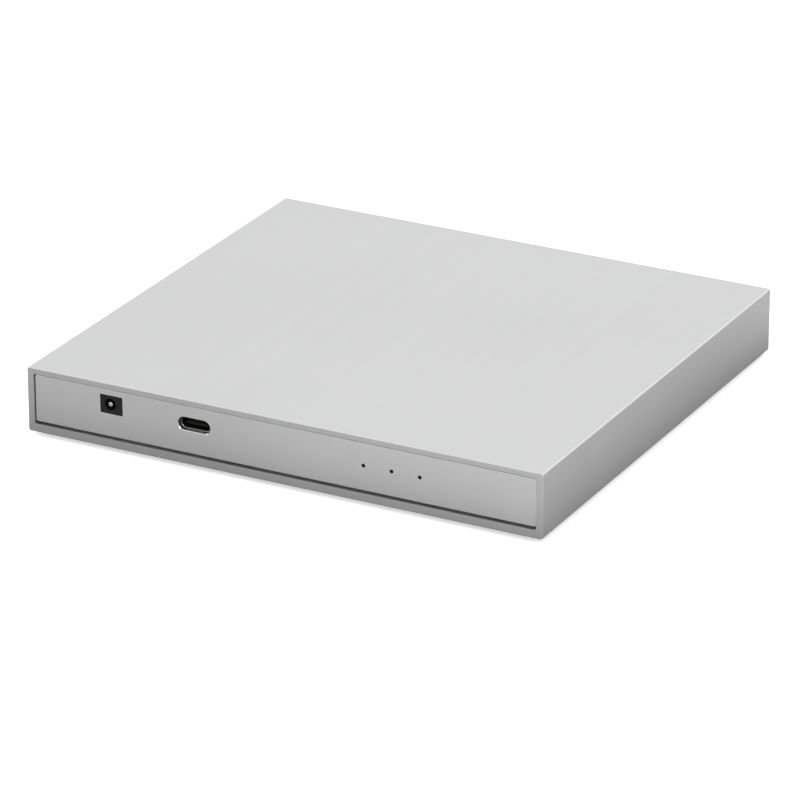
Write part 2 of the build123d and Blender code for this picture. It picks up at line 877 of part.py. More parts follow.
def all_pieces():
    """Every node of the enclosure, by name."""
    pieces = {
        "sleeve": sleeve(),
        "rear_panel": rear_panel(),
        "rear_screws": rear_screws(),
        "front_panel": front_panel(),
        "front_panel_screws": front_panel_screws(),
        "drive_tray": drive_tray(),
        "clinch_nuts": clinch_nuts(),
        "board_standoffs": board_standoffs(),
        "board_screws": board_screws(),
        "main_board": main_board(),
        "usb_c_shell": usb_c_shell(),
        "usb_c_insulator": usb_c_insulator(),
        "usb_c_contacts": usb_c_contacts(),
        "dc_jack_housing": dc_jack_housing(),
        "dc_jack_pin": dc_jack_pin(),
        "dc_jack_spring": dc_jack_spring(),
        "mode_switch_housing": mode_switch_housing(),
        "bridge_chip": flat_chip(
            bridge_chip_x, bridge_chip_size, bridge_chip_size, bridge_chip_height
        ),
        "firmware_chip": firmware_chip(),
        "crystal": flat_chip(crystal_x, crystal_width, crystal_depth, crystal_height),
        "chip_capacitors": chip_parts(chip_capacitor_offsets),
        "chip_resistors": chip_parts(chip_resistor_offsets),
    }
    foot_x = sleeve_half_width - foot_inset_x
    foot_y = sleeve_depth / 2 - foot_inset_y
    for end, y in (("front", -foot_y), ("rear", foot_y)):
        for side, x in (("left", -foot_x), ("right", foot_x)):
            pieces[f"foot_{end}_{side}"] = foot(x, y)
    for name, x in zip(("power_led", "drive_led_left", "drive_led_right"), led_places()):
        pieces[name] = status_led(x)
    for side, x in zip(("left", "right"), socket_places()):
        pieces[f"sata_receptacle_{side}"] = sata_receptacle(x)
        pieces[f"sata_contacts_{side}"] = sata_contacts(x)
    for n, x in enumerate(slider_places(), 1):
        pieces[f"mode_slider_{n}"] = mode_slider(x)
    for side, x in from_both_edges(coil_insets):
        pieces[f"power_coil_{side}"] = power_coil(x)
    for side, x in from_both_edges(regulator_insets):
        pieces[f"regulator_{side}"] = flat_chip(
            x, regulator_size, regulator_size, regulator_height
        )
    for side, inset in zip(("left", "right"), capacitor_insets):
        pieces[f"power_capacitor_{side}"] = power_capacitor(inset - board_half_width)
    return pieces


os.makedirs("parts", exist_ok=True)
for name, shape in all_pieces().items():
    export_step(shape, f"parts/{name}.step")
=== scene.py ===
import json
import math

import bmesh
import bpy
from bpy.props import FloatProperty, FloatVectorProperty, PointerProperty
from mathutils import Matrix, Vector

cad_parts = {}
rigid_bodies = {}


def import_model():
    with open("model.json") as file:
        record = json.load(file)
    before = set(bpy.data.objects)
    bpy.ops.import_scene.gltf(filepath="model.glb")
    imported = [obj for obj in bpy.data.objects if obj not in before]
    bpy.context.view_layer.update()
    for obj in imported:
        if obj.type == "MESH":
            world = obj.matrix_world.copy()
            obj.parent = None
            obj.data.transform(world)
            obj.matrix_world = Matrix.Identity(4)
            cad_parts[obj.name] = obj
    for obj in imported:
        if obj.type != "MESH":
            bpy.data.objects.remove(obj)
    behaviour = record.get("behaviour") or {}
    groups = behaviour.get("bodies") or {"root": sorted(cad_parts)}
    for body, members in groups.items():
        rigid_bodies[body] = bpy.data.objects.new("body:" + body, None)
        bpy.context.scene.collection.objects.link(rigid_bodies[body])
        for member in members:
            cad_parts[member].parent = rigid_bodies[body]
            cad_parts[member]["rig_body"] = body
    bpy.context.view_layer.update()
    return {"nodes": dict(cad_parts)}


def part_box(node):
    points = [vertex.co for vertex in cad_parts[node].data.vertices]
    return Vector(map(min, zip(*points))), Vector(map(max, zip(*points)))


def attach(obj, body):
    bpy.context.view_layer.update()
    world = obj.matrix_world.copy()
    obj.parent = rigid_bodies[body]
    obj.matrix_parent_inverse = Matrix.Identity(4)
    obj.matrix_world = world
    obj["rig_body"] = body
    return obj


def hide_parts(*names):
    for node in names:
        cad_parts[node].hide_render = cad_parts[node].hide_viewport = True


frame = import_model()

bl_info = {
    "name": "Dual-bay drive enclosure",
    "version": (1, 0, 0),
    "blender": (4, 5, 0),
    "location": "View3D > Sidebar > Enclosure",
    "description": "Finishes the pieces of a flat aluminium enclosure for two drives",
    "category": "Object",
}

MM = 0.001
FLAT = math.radians(3)
MERGE = 1e-7
SLEEVE_LOW, SLEEVE_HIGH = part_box("sleeve")
SLEEVE_WIDTH = SLEEVE_HIGH.x - SLEEVE_LOW.x


# Modelling tools


def deselect():
    """Leaves nothing selected."""
    bpy.ops.object.select_all(action="DESELECT")


def pick(piece):
    """Makes a piece the only one selected."""
    deselect()
    piece.select_set(True)
    bpy.context.view_layer.objects.active = piece


def named(piece, name):
    """Names a piece and its mesh, and puts its place into the mesh."""
    piece.name = name
    piece.data.name = name
    bpy.ops.object.transform_apply(location=True, rotation=True, scale=True)
    return piece


def start_block(name, low, high):
    """A box between two corners, which the edit tools then shape."""
    deselect()
    low, high = Vector(low), Vector(high)
    bpy.ops.mesh.primitive_cube_add(size=1, location=(low + high) / 2, scale=high - low)
    return named(bpy.context.object, name)


def start_rod(name, start, end, radius, sides=32, end_radius=None):
    """A rod or cone from one point to another, which the edit tools then shape."""
    deselect()
    start, end = Vector(start), Vector(end)
    along = end - start
    turn = along.to_track_quat("Z", "Y").to_euler()
    top = radius if end_radius is None else end_radius
    bpy.ops.mesh.primitive_cone_add(
        vertices=sides, radius1=radius, radius2=top, depth=along.length,
        location=(start + end) / 2, rotation=turn,
    )
    return named(bpy.context.object, name)


def start_turned(name, profile, sides=32):
    """A turned piece about Z, drawn up step by step from its lowest face.

    The profile is a list of radius and height."""
    (radius, height), (next_radius, next_height) = profile[:2]
    piece = start_rod(name, (0, 0, height), (0, 0, next_height), radius, sides, next_radius)
    radius, height = next_radius, next_height
    edit(piece)
    choose_faces(piece, lambda middle, normal: normal.z > 0.9 and near(middle.z, height))
    for next_radius, next_height in profile[2:]:
        rise = (0, 0, next_height - height)
        bpy.ops.mesh.extrude_region_move(TRANSFORM_OT_translate={"value": rise})
        share = next_radius / radius
        bpy.ops.transform.resize(value=(share, share, 1), center_override=(0, 0, next_height))
        radius, height = next_radius, next_height
    done()
    return piece


def start_hexagon(name, across_flats, low, high):
    """An upright hexagonal bar with corners to the left and right."""
    deselect()
    bpy.ops.mesh.primitive_cone_add(
        vertices=6, radius1=across_flats / math.sqrt(3), radius2=across_flats / math.sqrt(3),
        depth=high - low, location=(0, 0, (low + high) / 2), rotation=(0, 0, math.pi / 2),
    )
    return named(bpy.context.object, name)


def start_slot(name, low, high):
    """A bar along Y whose section is a slot with half-round ends."""
    piece = start_block(name, low, high)
    thinner = min(high[0] - low[0], high[2] - low[2])
    left_flat = 0.01 * MM
    return bevel_edges(piece, runs_along(1), thinner / 2 - left_flat, 10)


def edit(piece):
    """Opens a piece in edit mode with nothing selected."""
    pick(piece)
    bpy.ops.object.mode_set(mode="EDIT")
    bpy.ops.mesh.select_all(action="DESELECT")


def done():
    """Goes back to object mode."""
    bpy.ops.object.mode_set(mode="OBJECT")


def choose_faces(piece, test):
    """Selects the faces whose middle and normal pass a test."""
    bpy.context.tool_settings.mesh_select_mode = (False, False, True)
    bpy.ops.mesh.select_all(action="DESELECT")
    mesh = bmesh.from_edit_mesh(piece.data)
    for face in mesh.faces:
        face.select_set(bool(test(face.calc_center_median(), face.normal)))
    bmesh.update_edit_mesh(piece.data)


def choose_edges(piece, test):
    """Selects the edges that aren't flat and whose two ends pass a test."""
    bpy.context.tool_settings.mesh_select_mode = (False, True, False)
    bpy.ops.mesh.select_all(action="DESELECT")
    mesh = bmesh.from_edit_mesh(piece.data)
    for edge in mesh.edges:
        sharp = edge.is_manifold and edge.calc_face_angle() > FLAT
        edge.select_set(bool(sharp and test(edge.verts[0].co, edge.verts[1].co)))
    bmesh.update_edit_mesh(piece.data)


def near(a, b, room=1e-5):
    """True if two lengths are the same."""
    return abs(a - b) < room


def runs_along(axis):
    """A test for edges that run along one axis: 0 for X, 1 for Y and 2 for Z."""
    others = [n for n in range(3) if n != axis]
    return lambda a, b: all(near(a[n], b[n]) for n in others)


def lies_at(axis, place):
    """A test for edges with both ends at one place along an axis."""
    return lambda a, b: near(a[axis], place) and near(b[axis], place)


def within(low, high):
    """A test for edges with both ends in a box."""
    return lambda a, b: all(low[n] <= p[n] <= high[n] for p in (a, b) for n in range(3))


def bevel_edges(piece, test, width, segments=3, material=-1):
    """Rounds the edges that pass a test, and gives the new faces a material of the piece."""
    edit(piece)
    choose_edges(piece, test)
    bpy.ops.mesh.bevel(
        offset=width, segments=segments, affect="EDGES", clamp_overlap=True, material=material,
    )
    done()
    return piece


def sink_face(piece, test, margin, depth):
    """Insets a face by a margin and pushes the middle in by a depth, or out if it is negative."""
    edit(piece)
    choose_faces(piece, test)
    bpy.ops.mesh.inset(thickness=margin, depth=-depth)
    done()
    return piece


def resize_face(piece, test, share):
    """Makes the faces that pass a test larger or smaller about their own middle."""
    edit(piece)
    choose_faces(piece, test)
    mesh = bmesh.from_edit_mesh(piece.data)
    middles = [face.calc_center_median() for face in mesh.faces if face.select]
    centre = sum(middles, Vector()) / len(middles)
    bpy.ops.transform.resize(value=(share, share, share), center_override=centre)
    done()
    return piece


def facing(axis, side):
    """A test for faces that look up an axis, or down it where the side is -1."""
    return lambda middle, normal: side * normal[axis] > 0.9


def pull_faces(piece, test, *steps):
    """Draws out the faces that pass a test, once for each step."""
    edit(piece)
    choose_faces(piece, test)
    for step in steps:
        bpy.ops.mesh.extrude_region_move(TRANSFORM_OT_translate={"value": step})
    done()


def slice_at(piece, axis, *places):
    """Divides a piece's faces along planes across an axis, without cutting it apart."""
    normal = [0, 0, 0]
    normal[axis] = 1
    edit(piece)
    for spot in places:
        point = [0, 0, 0]
        point[axis] = spot
        bpy.ops.mesh.select_all(action="SELECT")
        bpy.ops.mesh.bisect(plane_co=point, plane_no=normal)
    done()
    return piece


def move(piece, turn=(0, 0, 0), shift=(0, 0, 0)):
    """Turns a piece about the origin, moves it, and puts its place into the mesh."""
    pick(piece)
    piece.rotation_euler = turn
    piece.location = shift
    bpy.ops.object.transform_apply(location=True, rotation=True, scale=True)
    return piece


def copy_of(piece, name, shift=(0, 0, 0), turn=(0, 0, 0)):
    """A copy of a piece with its own mesh, turned about the origin and then moved."""
    pick(piece)
    bpy.ops.object.duplicate(linked=False)
    twin = bpy.context.object
    move(twin, turn, shift)
    return named(twin, name)


def copy_of_node(node, name):
    """A copy of a CAD node's mesh, merged and freed of the edges between flat triangles."""
    piece = bpy.data.objects.new(name, frame["nodes"][node].data.copy())
    bpy.context.scene.collection.objects.link(piece)
    piece.data.name = name
    piece.data.materials.clear()
    edit(piece)
    bpy.ops.mesh.select_all(action="SELECT")
    bpy.ops.mesh.remove_doubles(threshold=MERGE)
    bpy.ops.mesh.dissolve_limited(angle_limit=math.radians(0.5))
    done()
    return piece


def repeat(piece, count, step):
    """Repeats a piece in a row."""
    return modify(piece, "ARRAY", count=count, use_relative_offset=False,
                  use_constant_offset=True, constant_offset_displace=step)


def modify(piece, kind, **settings):
    """Gives a piece a modifier with these settings, and applies it."""
    modifier = piece.modifiers.new(kind.lower(), kind)
    for name, value in settings.items():
        setattr(modifier, name, value)
    pick(piece)
    bpy.ops.object.modifier_apply(modifier=modifier.name)
    return piece


def combine(piece, others, operation):
    """Works other pieces into a piece, one after another, and removes them."""
    for other in others:
        modify(piece, "BOOLEAN", operation=operation, solver="EXACT", object=other)
        bpy.data.objects.remove(other)
    return piece


def cut(piece, *cutters):
    """Takes other pieces out of a piece, and removes them."""
    return combine(piece, cutters, "DIFFERENCE")


def weld(piece, *others):
    """Unites other pieces with a piece, and removes them."""
    return combine(piece, others, "UNION")


def join(name, pieces):
    """Makes one piece of several separate ones."""
    deselect()
    for piece in pieces:
        piece.select_set(True)
    bpy.context.view_layer.objects.active = pieces[0]
    bpy.ops.object.join()
    return named(bpy.context.object, name)


def soften(piece, width, segments=2, angle=30):
    """Rounds every sharp edge of a piece a little."""
    return modify(piece, "BEVEL", width=width, segments=segments, limit_method="ANGLE",
                  angle_limit=math.radians(angle), miter_outer="MITER_ARC")


def smooth(piece, angle=35):
    """Shades a piece smooth across its rounded edges, while its broad faces stay flat."""
    pick(piece)
    bpy.ops.object.shade_smooth_by_angle(angle=math.radians(angle))
    return modify(piece, "WEIGHTED_NORMAL", keep_sharp=True)


def coat(piece, *materials):
    """Gives a piece its materials, the first of them all over."""
    piece.data.materials.clear()
    for material in materials:
        piece.data.materials.append(material)
    return piece


def coat_faces(piece, number, test):
    """Gives the faces whose middle and normal pass a test another material of the piece."""
    for face in piece.data.polygons:
        if test(face.center, face.normal):
            face.material_index = number
    return piece


def place(piece, slot, *nodes, like=None):
    """Hands over a finished piece: it rides with the nodes it stands for, or with one it sits on."""
    carrier = frame["nodes"][like or nodes[0]]
    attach(piece, carrier["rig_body"])
    if nodes:
        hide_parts(*nodes)
    return piece


# Effects that the finishes share


def start_group(name, inputs, outputs):
    """A new node group with named inputs and outputs."""
    tree = bpy.data.node_groups.new(name, "ShaderNodeTree")
    for label, kind, value in inputs:
        socket = tree.interface.new_socket(label, in_out="INPUT", socket_type=kind)
        if value is not None:
            socket.default_value = value
    for label, kind in outputs:
        tree.interface.new_socket(label, in_out="OUTPUT", socket_type=kind)
    return tree, tree.nodes.new("NodeGroupInput"), tree.nodes.new("NodeGroupOutput")


def link(tree, source, target):
    """Joins two sockets."""
    tree.links.new(source, target)


def maths(tree, operation, first, second=None):
    """A Math node, whose inputs are sockets or numbers."""
    node = tree.nodes.new("ShaderNodeMath")
    node.operation = operation
    for socket, value in zip(node.inputs, (first, second)):
        if value is None:
            continue
        if isinstance(value, (int, float)):
            socket.default_value = value
        else:
            link(tree, value, socket)
    return node.outputs[0]


def vector_maths(tree, operation, first, second=None):
    """A Vector Math node, whose inputs are sockets or vectors."""
    node = tree.nodes.new("ShaderNodeVectorMath")
    node.operation = operation
    for socket, value in zip(node.inputs, (first, second)):
        if value is None:
            continue
        if isinstance(value, (tuple, Vector)):
            socket.default_value = value
        else:
            link(tree, value, socket)
    return node.outputs[0]


def noise(tree, vector, scale, detail=2.0, roughness=0.5):
    """A Noise Texture's value."""
    node = tree.nodes.new("ShaderNodeTexNoise")
    node.inputs["Scale"].default_value = scale if isinstance(scale, (int, float)) else 1.0
    node.inputs["Detail"].default_value = detail
    node.inputs["Roughness"].default_value = roughness
    link(tree, vector, node.inputs["Vector"])
    if not isinstance(scale, (int, float)):
        link(tree, scale, node.inputs["Scale"])
    return node.outputs["Fac"]


def voronoi(tree, vector, scale, metric):
    """A Voronoi Texture of scattered cells."""
    node = tree.nodes.new("ShaderNodeTexVoronoi")
    node.distance = metric
    link(tree, vector, node.inputs["Vector"])
    link(tree, scale, node.inputs["Scale"])
    return node


def spread(tree, value, from_low, from_high, to_low=0.0, to_high=1.0, soft=False):
    """A Map Range node, whose limits are numbers or sockets."""
    node = tree.nodes.new("ShaderNodeMapRange")
    if soft:
        node.interpolation_type = "SMOOTHSTEP"
    link(tree, value, node.inputs["Value"])
    limits = {
        "From Min": from_low, "From Max": from_high, "To Min": to_low, "To Max": to_high,
    }
    for label, limit in limits.items():
        if isinstance(limit, (int, float)):
            node.inputs[label].default_value = limit
        else:
            link(tree, limit, node.inputs[label])
    return node.outputs["Result"]


def grain_group():
    """Even pits of a blasted or moulded skin, with a slow drift in how dull it is."""
    tree, given, out = start_group(
        "surface grain",
        [
            ("Vector", "NodeSocketVector", None),
            ("Grains per metre", "NodeSocketFloat", 5000.0),
            ("Drifts per metre", "NodeSocketFloat", 30.0),
            ("Dullness low", "NodeSocketFloat", 0.4),
            ("Dullness high", "NodeSocketFloat", 0.5),
        ],
        [
            ("Height", "NodeSocketFloat"),
            ("Dullness", "NodeSocketFloat"),
            ("Drift", "NodeSocketFloat"),
        ],
    )
    point = given.outputs["Vector"]
    pits = noise(tree, point, given.outputs["Grains per metre"], 2.0, 0.6)
    drift = noise(tree, point, given.outputs["Drifts per metre"], 4.0, 0.6)
    mixed = maths(tree, "ADD", maths(tree, "MULTIPLY", pits, 0.4), maths(tree, "MULTIPLY", drift, 0.6))
    link(tree, pits, out.inputs["Height"])
    low, high = given.outputs["Dullness low"], given.outputs["Dullness high"]
    link(tree, spread(tree, mixed, 0.3, 0.7, low, high), out.inputs["Dullness"])
    link(tree, drift, out.inputs["Drift"])
    return tree


def streak_group():
    """Fine parallel scratches, long along the axis that is stretched least."""
    tree, given, out = start_group(
        "fine streaks",
        [
            ("Vector", "NodeSocketVector", None),
            ("Streaks per metre", "NodeSocketVector", (4000.0, 60.0, 4000.0)),
            ("Shade low", "NodeSocketFloat", 0.9),
            ("Shade high", "NodeSocketFloat", 1.05),
        ],
        [("Height", "NodeSocketFloat"), ("Shade", "NodeSocketFloat")],
    )
    stretched = vector_maths(
        tree, "MULTIPLY", given.outputs["Vector"], given.outputs["Streaks per metre"]
    )
    fine = noise(tree, stretched, 1.0, 3.0, 0.65)
    broad = noise(tree, stretched, 0.13, 2.0, 0.5)
    both = maths(tree, "ADD", maths(tree, "MULTIPLY", fine, 0.6), maths(tree, "MULTIPLY", broad, 0.4))
    link(tree, fine, out.inputs["Height"])
    low, high = given.outputs["Shade low"], given.outputs["Shade high"]
    link(tree, spread(tree, both, 0.3, 0.7, low, high), out.inputs["Shade"])
    return tree


def edge_group():
    """The edges of a box-shaped piece, where handling brightens the finish."""
    tree, given, out = start_group(
        "worn edges",
        [
            ("Vector", "NodeSocketVector", None),
            ("Centre", "NodeSocketVector", (0.0, 0.0, 0.0)),
            ("Half size", "NodeSocketVector", (1.0, 1.0, 1.0)),
            ("Width", "NodeSocketFloat", 0.0005),
            ("Breaks per metre", "NodeSocketFloat", 900.0),
        ],
        [("Edge", "NodeSocketFloat")],
    )
    point = given.outputs["Vector"]
    offset = vector_maths(tree, "SUBTRACT", point, given.outputs["Centre"])
    depth = vector_maths(
        tree, "SUBTRACT", given.outputs["Half size"], vector_maths(tree, "ABSOLUTE", offset)
    )
    split = tree.nodes.new("ShaderNodeSeparateXYZ")
    link(tree, depth, split.inputs[0])
    a, b, c = split.outputs
    smaller = maths(tree, "MINIMUM", a, b)
    larger = maths(tree, "MAXIMUM", a, b)
    second = maths(tree, "MAXIMUM", smaller, maths(tree, "MINIMUM", larger, c))
    edge = spread(tree, second, 0.0, given.outputs["Width"], 1.0, 0.0, soft=True)
    breaks = noise(tree, point, given.outputs["Breaks per metre"], 3.0, 0.6)
    broken = maths(tree, "MULTIPLY", edge, spread(tree, breaks, 0.35, 0.6, 0.45, 1.0))
    link(tree, broken, out.inputs["Edge"])
    return tree


GROUPS = {}


def effect(tree, name, vector, **values):
    """Places one of the shared effects in a material, with its own values."""
    if name not in GROUPS:
        makers = {
            "grain": grain_group, "streaks": streak_group, "edges": edge_group,
            "tracks": track_group, "outline": frame_group,
        }
        GROUPS[name] = makers[name]()
    node = tree.nodes.new("ShaderNodeGroup")
    node.node_tree = GROUPS[name]
    link(tree, vector, node.inputs["Vector"])
    for label, value in values.items():
        node.inputs[label.replace("_", " ")].default_value = value
    return node


def start_material(name, metallic=0.0, roughness=0.5):
    """A material with its shader, and the place on the piece that its patterns follow."""
    material = bpy.data.materials.new(name)
    material.use_nodes = True
    tree = material.node_tree
    shader = tree.nodes["Principled BSDF"]
    shader.inputs["Metallic"].default_value = metallic
    shader.inputs["Roughness"].default_value = roughness
    where = tree.nodes.new("ShaderNodeTexCoord").outputs["Object"]
    return material, tree, shader, where


def tint(tree, colour, shade):
    """A colour made lighter or darker by a value that changes over the surface."""
    node = tree.nodes.new("ShaderNodeMix")
    node.data_type = "RGBA"
    node.blend_type = "MULTIPLY"
    node.inputs["Factor"].default_value = 1.0
    node.inputs["A"].default_value = (*colour, 1.0)
    link(tree, shade, node.inputs["B"])
    return node.outputs["Result"]


def blend_colours(tree, factor, first, second):
    """A change from one colour to another. Each is a socket or three numbers."""
    node = tree.nodes.new("ShaderNodeMix")
    node.data_type = "RGBA"
    link(tree, factor, node.inputs["Factor"])
    for label, value in (("A", first), ("B", second)):
        if isinstance(value, bpy.types.NodeSocket):
            link(tree, value, node.inputs[label])
        else:
            node.inputs[label].default_value = (*value, 1.0)
    return node.outputs["Result"]


def raise_surface(tree, shader, height, distance, strength=1.0):
    """Bumps the surface by a height."""
    node = tree.nodes.new("ShaderNodeBump")
    node.inputs["Distance"].default_value = distance
    node.inputs["Strength"].default_value = strength
    link(tree, height, node.inputs["Height"])
    link(tree, node.outputs["Normal"], shader.inputs["Normal"])


# Finishes


def blasted_aluminium(name, low, high, look, painted_shade_level=1.0):
    """Fine blasted and anodised aluminium, brighter along the edges of its box. A painted shade level
    below one darkens the whole material as painted shade.
    """
    material, tree, shader, where = start_material(name, 1.0)
    grain = effect(
        tree, "grain", where, Grains_per_metre=5200.0, Drifts_per_metre=14.0,
        Dullness_low=look.blast_dullness - 0.03, Dullness_high=look.blast_dullness + 0.03,
    )
    lines = effect(
        tree, "streaks", where, Streaks_per_metre=(2600.0, 9.0, 2600.0),
        Shade_low=0.985, Shade_high=1.012,
    )
    edges = effect(
        tree, "edges", where, Centre=(low + high) / 2, Half_size=(high - low) / 2,
        Width=look.edge_wear,
    )
    drift = spread(tree, grain.outputs["Drift"], 0.3, 0.7, 0.985 * painted_shade_level, 1.012 * painted_shade_level)
    plain = tint(tree, look.blast_colour, maths(tree, "MULTIPLY", drift, lines.outputs["Shade"]))
    worn = maths(tree, "MULTIPLY", edges.outputs["Edge"], 0.25)
    link(tree, blend_colours(tree, worn, plain, (0.82, 0.82, 0.825)), shader.inputs["Base Color"])
    polish = maths(tree, "MULTIPLY", edges.outputs["Edge"], 0.10)
    dull = maths(tree, "SUBTRACT", grain.outputs["Dullness"], polish)
    link(tree, dull, shader.inputs["Roughness"])
    raise_surface(tree, shader, grain.outputs["Height"], 5e-6)
    return material


def machined_edge(name):
    """The bright cut left by the tool on a chamfer."""
    material, tree, shader, where = start_material(name, 1.0)
    lines = effect(
        tree, "streaks", where, Streaks_per_metre=(900.0, 24000.0, 900.0),
        Shade_low=0.88, Shade_high=1.0,
    )
    link(tree, tint(tree, (0.7, 0.7, 0.705), lines.outputs["Shade"]), shader.inputs["Base Color"])
    link(tree, spread(tree, lines.outputs["Height"], 0.3, 0.7, 0.13, 0.2), shader.inputs["Roughness"])
    raise_surface(tree, shader, lines.outputs["Height"], 1.5e-6)
    return material


def metal(name, colour, dull_low, dull_high, streaks, depth=2e-6):
    """A plain metal with the lines that rolling, drawing or turning leaves on it."""
    material, tree, shader, where = start_material(name, 1.0)
    lines = effect(
        tree, "streaks", where, Streaks_per_metre=streaks, Shade_low=0.9, Shade_high=1.04,
    )
    marks = effect(
        tree, "grain", where, Grains_per_metre=3000.0, Drifts_per_metre=90.0,
        Dullness_low=dull_low, Dullness_high=dull_high,
    )
    drift = spread(tree, marks.outputs["Drift"], 0.3, 0.7, 0.95, 1.03)
    shade = maths(tree, "MULTIPLY", lines.outputs["Shade"], drift)
    link(tree, tint(tree, colour, shade), shader.inputs["Base Color"])
    link(tree, marks.outputs["Dullness"], shader.inputs["Roughness"])
    raise_surface(tree, shader, lines.outputs["Height"], depth)
    return material


def moulding(name, colour, dull_low, dull_high, grains=9000.0, depth=5e-6, shine=0.5,
             drifts=160.0, shades=(0.86, 1.12)):
    """A moulded plastic, resin or ceramic with a fine even grain and a slow drift of shade."""
    material, tree, shader, where = start_material(name)
    shader.inputs["Specular IOR Level"].default_value = shine
    grain = effect(
        tree, "grain", where, Grains_per_metre=grains, Drifts_per_metre=drifts,
        Dullness_low=dull_low, Dullness_high=dull_high,
    )
    shade = spread(tree, grain.outputs["Drift"], 0.3, 0.7, *shades)
    link(tree, tint(tree, colour, shade), shader.inputs["Base Color"])
    link(tree, grain.outputs["Dullness"], shader.inputs["Roughness"])
    raise_surface(tree, shader, grain.outputs["Height"], depth)
    return material


def track_group():
    """Copper tracks under a board's mask: bundles along X, bundles along Y and solid areas."""
    tree, given, out = start_group(
        "board tracks",
        [
            ("Vector", "NodeSocketVector", None),
            ("Tracks per metre", "NodeSocketFloat", 1900.0),
            ("Bundles per metre", "NodeSocketFloat", 230.0),
            ("Vias per metre", "NodeSocketFloat", 420.0),
        ],
        [("Copper", "NodeSocketFloat"), ("Via", "NodeSocketFloat")],
    )
    point = given.outputs["Vector"]
    split = tree.nodes.new("ShaderNodeSeparateXYZ")
    link(tree, point, split.inputs[0])
    flat = tree.nodes.new("ShaderNodeCombineXYZ")
    link(tree, split.outputs[0], flat.inputs[0])
    link(tree, split.outputs[1], flat.inputs[1])
    cells = voronoi(tree, flat.outputs[0], given.outputs["Bundles per metre"], "CHEBYCHEV")
    pick_cell = tree.nodes.new("ShaderNodeSeparateColor")
    link(tree, cells.outputs["Color"], pick_cell.inputs[0])
    chance = pick_cell.outputs[0]
    lines = []
    for axis in (1, 0):
        steps = maths(tree, "MULTIPLY", split.outputs[axis], given.outputs["Tracks per metre"])
        wave = maths(tree, "PINGPONG", steps, 0.5)
        lines.append(spread(tree, wave, 0.24, 0.30))
    along_x = maths(tree, "MULTIPLY", lines[0], maths(tree, "LESS_THAN", chance, 0.42))
    along_y = maths(tree, "MULTIPLY", lines[1], maths(tree, "GREATER_THAN", chance, 0.62))
    both = maths(tree, "MAXIMUM", along_x, along_y)
    from_middle = maths(tree, "ABSOLUTE", maths(tree, "SUBTRACT", chance, 0.52))
    solid = maths(tree, "LESS_THAN", from_middle, 0.1)
    link(tree, maths(tree, "MAXIMUM", both, solid), out.inputs["Copper"])
    holes = voronoi(tree, flat.outputs[0], given.outputs["Vias per metre"], "EUCLIDEAN")
    few = tree.nodes.new("ShaderNodeSeparateColor")
    link(tree, holes.outputs["Color"], few.inputs[0])
    near_hole = spread(tree, holes.outputs["Distance"], 0.07, 0.09, 1.0, 0.0)
    link(tree, maths(tree, "MULTIPLY", near_hole, maths(tree, "GREATER_THAN", few.outputs[1], 0.6)),
         out.inputs["Via"])
    return tree


def frame_group():
    """A printed outline round a part on the board, open at its corners."""
    tree, given, out = start_group(
        "printed outline",
        [
            ("Vector", "NodeSocketVector", None),
            ("Centre", "NodeSocketVector", (0.0, 0.0, 0.0)),
            ("Half size", "NodeSocketVector", (0.001, 0.001, 1.0)),
            ("Width", "NodeSocketFloat", 0.00013),
        ],
        [("Ink", "NodeSocketFloat")],
    )
    offset = vector_maths(tree, "SUBTRACT", given.outputs["Vector"], given.outputs["Centre"])
    inside = vector_maths(
        tree, "SUBTRACT", vector_maths(tree, "ABSOLUTE", offset), given.outputs["Half size"]
    )
    split = tree.nodes.new("ShaderNodeSeparateXYZ")
    link(tree, inside, split.inputs[0])
    reach = maths(tree, "ABSOLUTE", maths(tree, "MAXIMUM", split.outputs[0], split.outputs[1]))
    ring = maths(tree, "LESS_THAN", reach, given.outputs["Width"])
    gap = maths(tree, "MULTIPLY", given.outputs["Width"], 4.0)
    corner = maths(tree, "LESS_THAN", maths(tree, "ABSOLUTE", split.outputs[0]), gap)
    other = maths(tree, "LESS_THAN", maths(tree, "ABSOLUTE", split.outputs[1]), gap)
    kept = maths(tree, "SUBTRACT", 1.0, maths(tree, "MULTIPLY", corner, other))
    link(tree, maths(tree, "MULTIPLY", ring, kept), out.inputs["Ink"])
    return tree


def solder_mask(name, colour, outlines):
    """Green lacquer over copper, with vias and the printed outlines of the parts."""
    material, tree, shader, where = start_material(name, 0.0, 0.38)
    copper = effect(tree, "tracks", where)
    grain = effect(
        tree, "grain", where, Grains_per_metre=2500.0, Drifts_per_metre=60.0,
        Dullness_low=0.3, Dullness_high=0.42,
    )
    light = tuple(min(1.0, 1.9 * part + 0.01) for part in colour)
    mask = blend_colours(tree, copper.outputs["Copper"], colour, light)
    with_vias = blend_colours(tree, copper.outputs["Via"], mask, (0.35, 0.34, 0.3))
    ink = None
    for centre, half in outlines:
        drawn = effect(tree, "outline", where, Centre=centre, Half_size=half).outputs["Ink"]
        ink = drawn if ink is None else maths(tree, "MAXIMUM", ink, drawn)
    printed = blend_colours(tree, ink, with_vias, (0.62, 0.63, 0.6))
    link(tree, printed, shader.inputs["Base Color"])
    link(tree, grain.outputs["Dullness"], shader.inputs["Roughness"])
    relief = maths(tree, "SUBTRACT", copper.outputs["Copper"], copper.outputs["Via"])
    raise_surface(tree, shader, relief, 3e-5, 0.6)
    return material


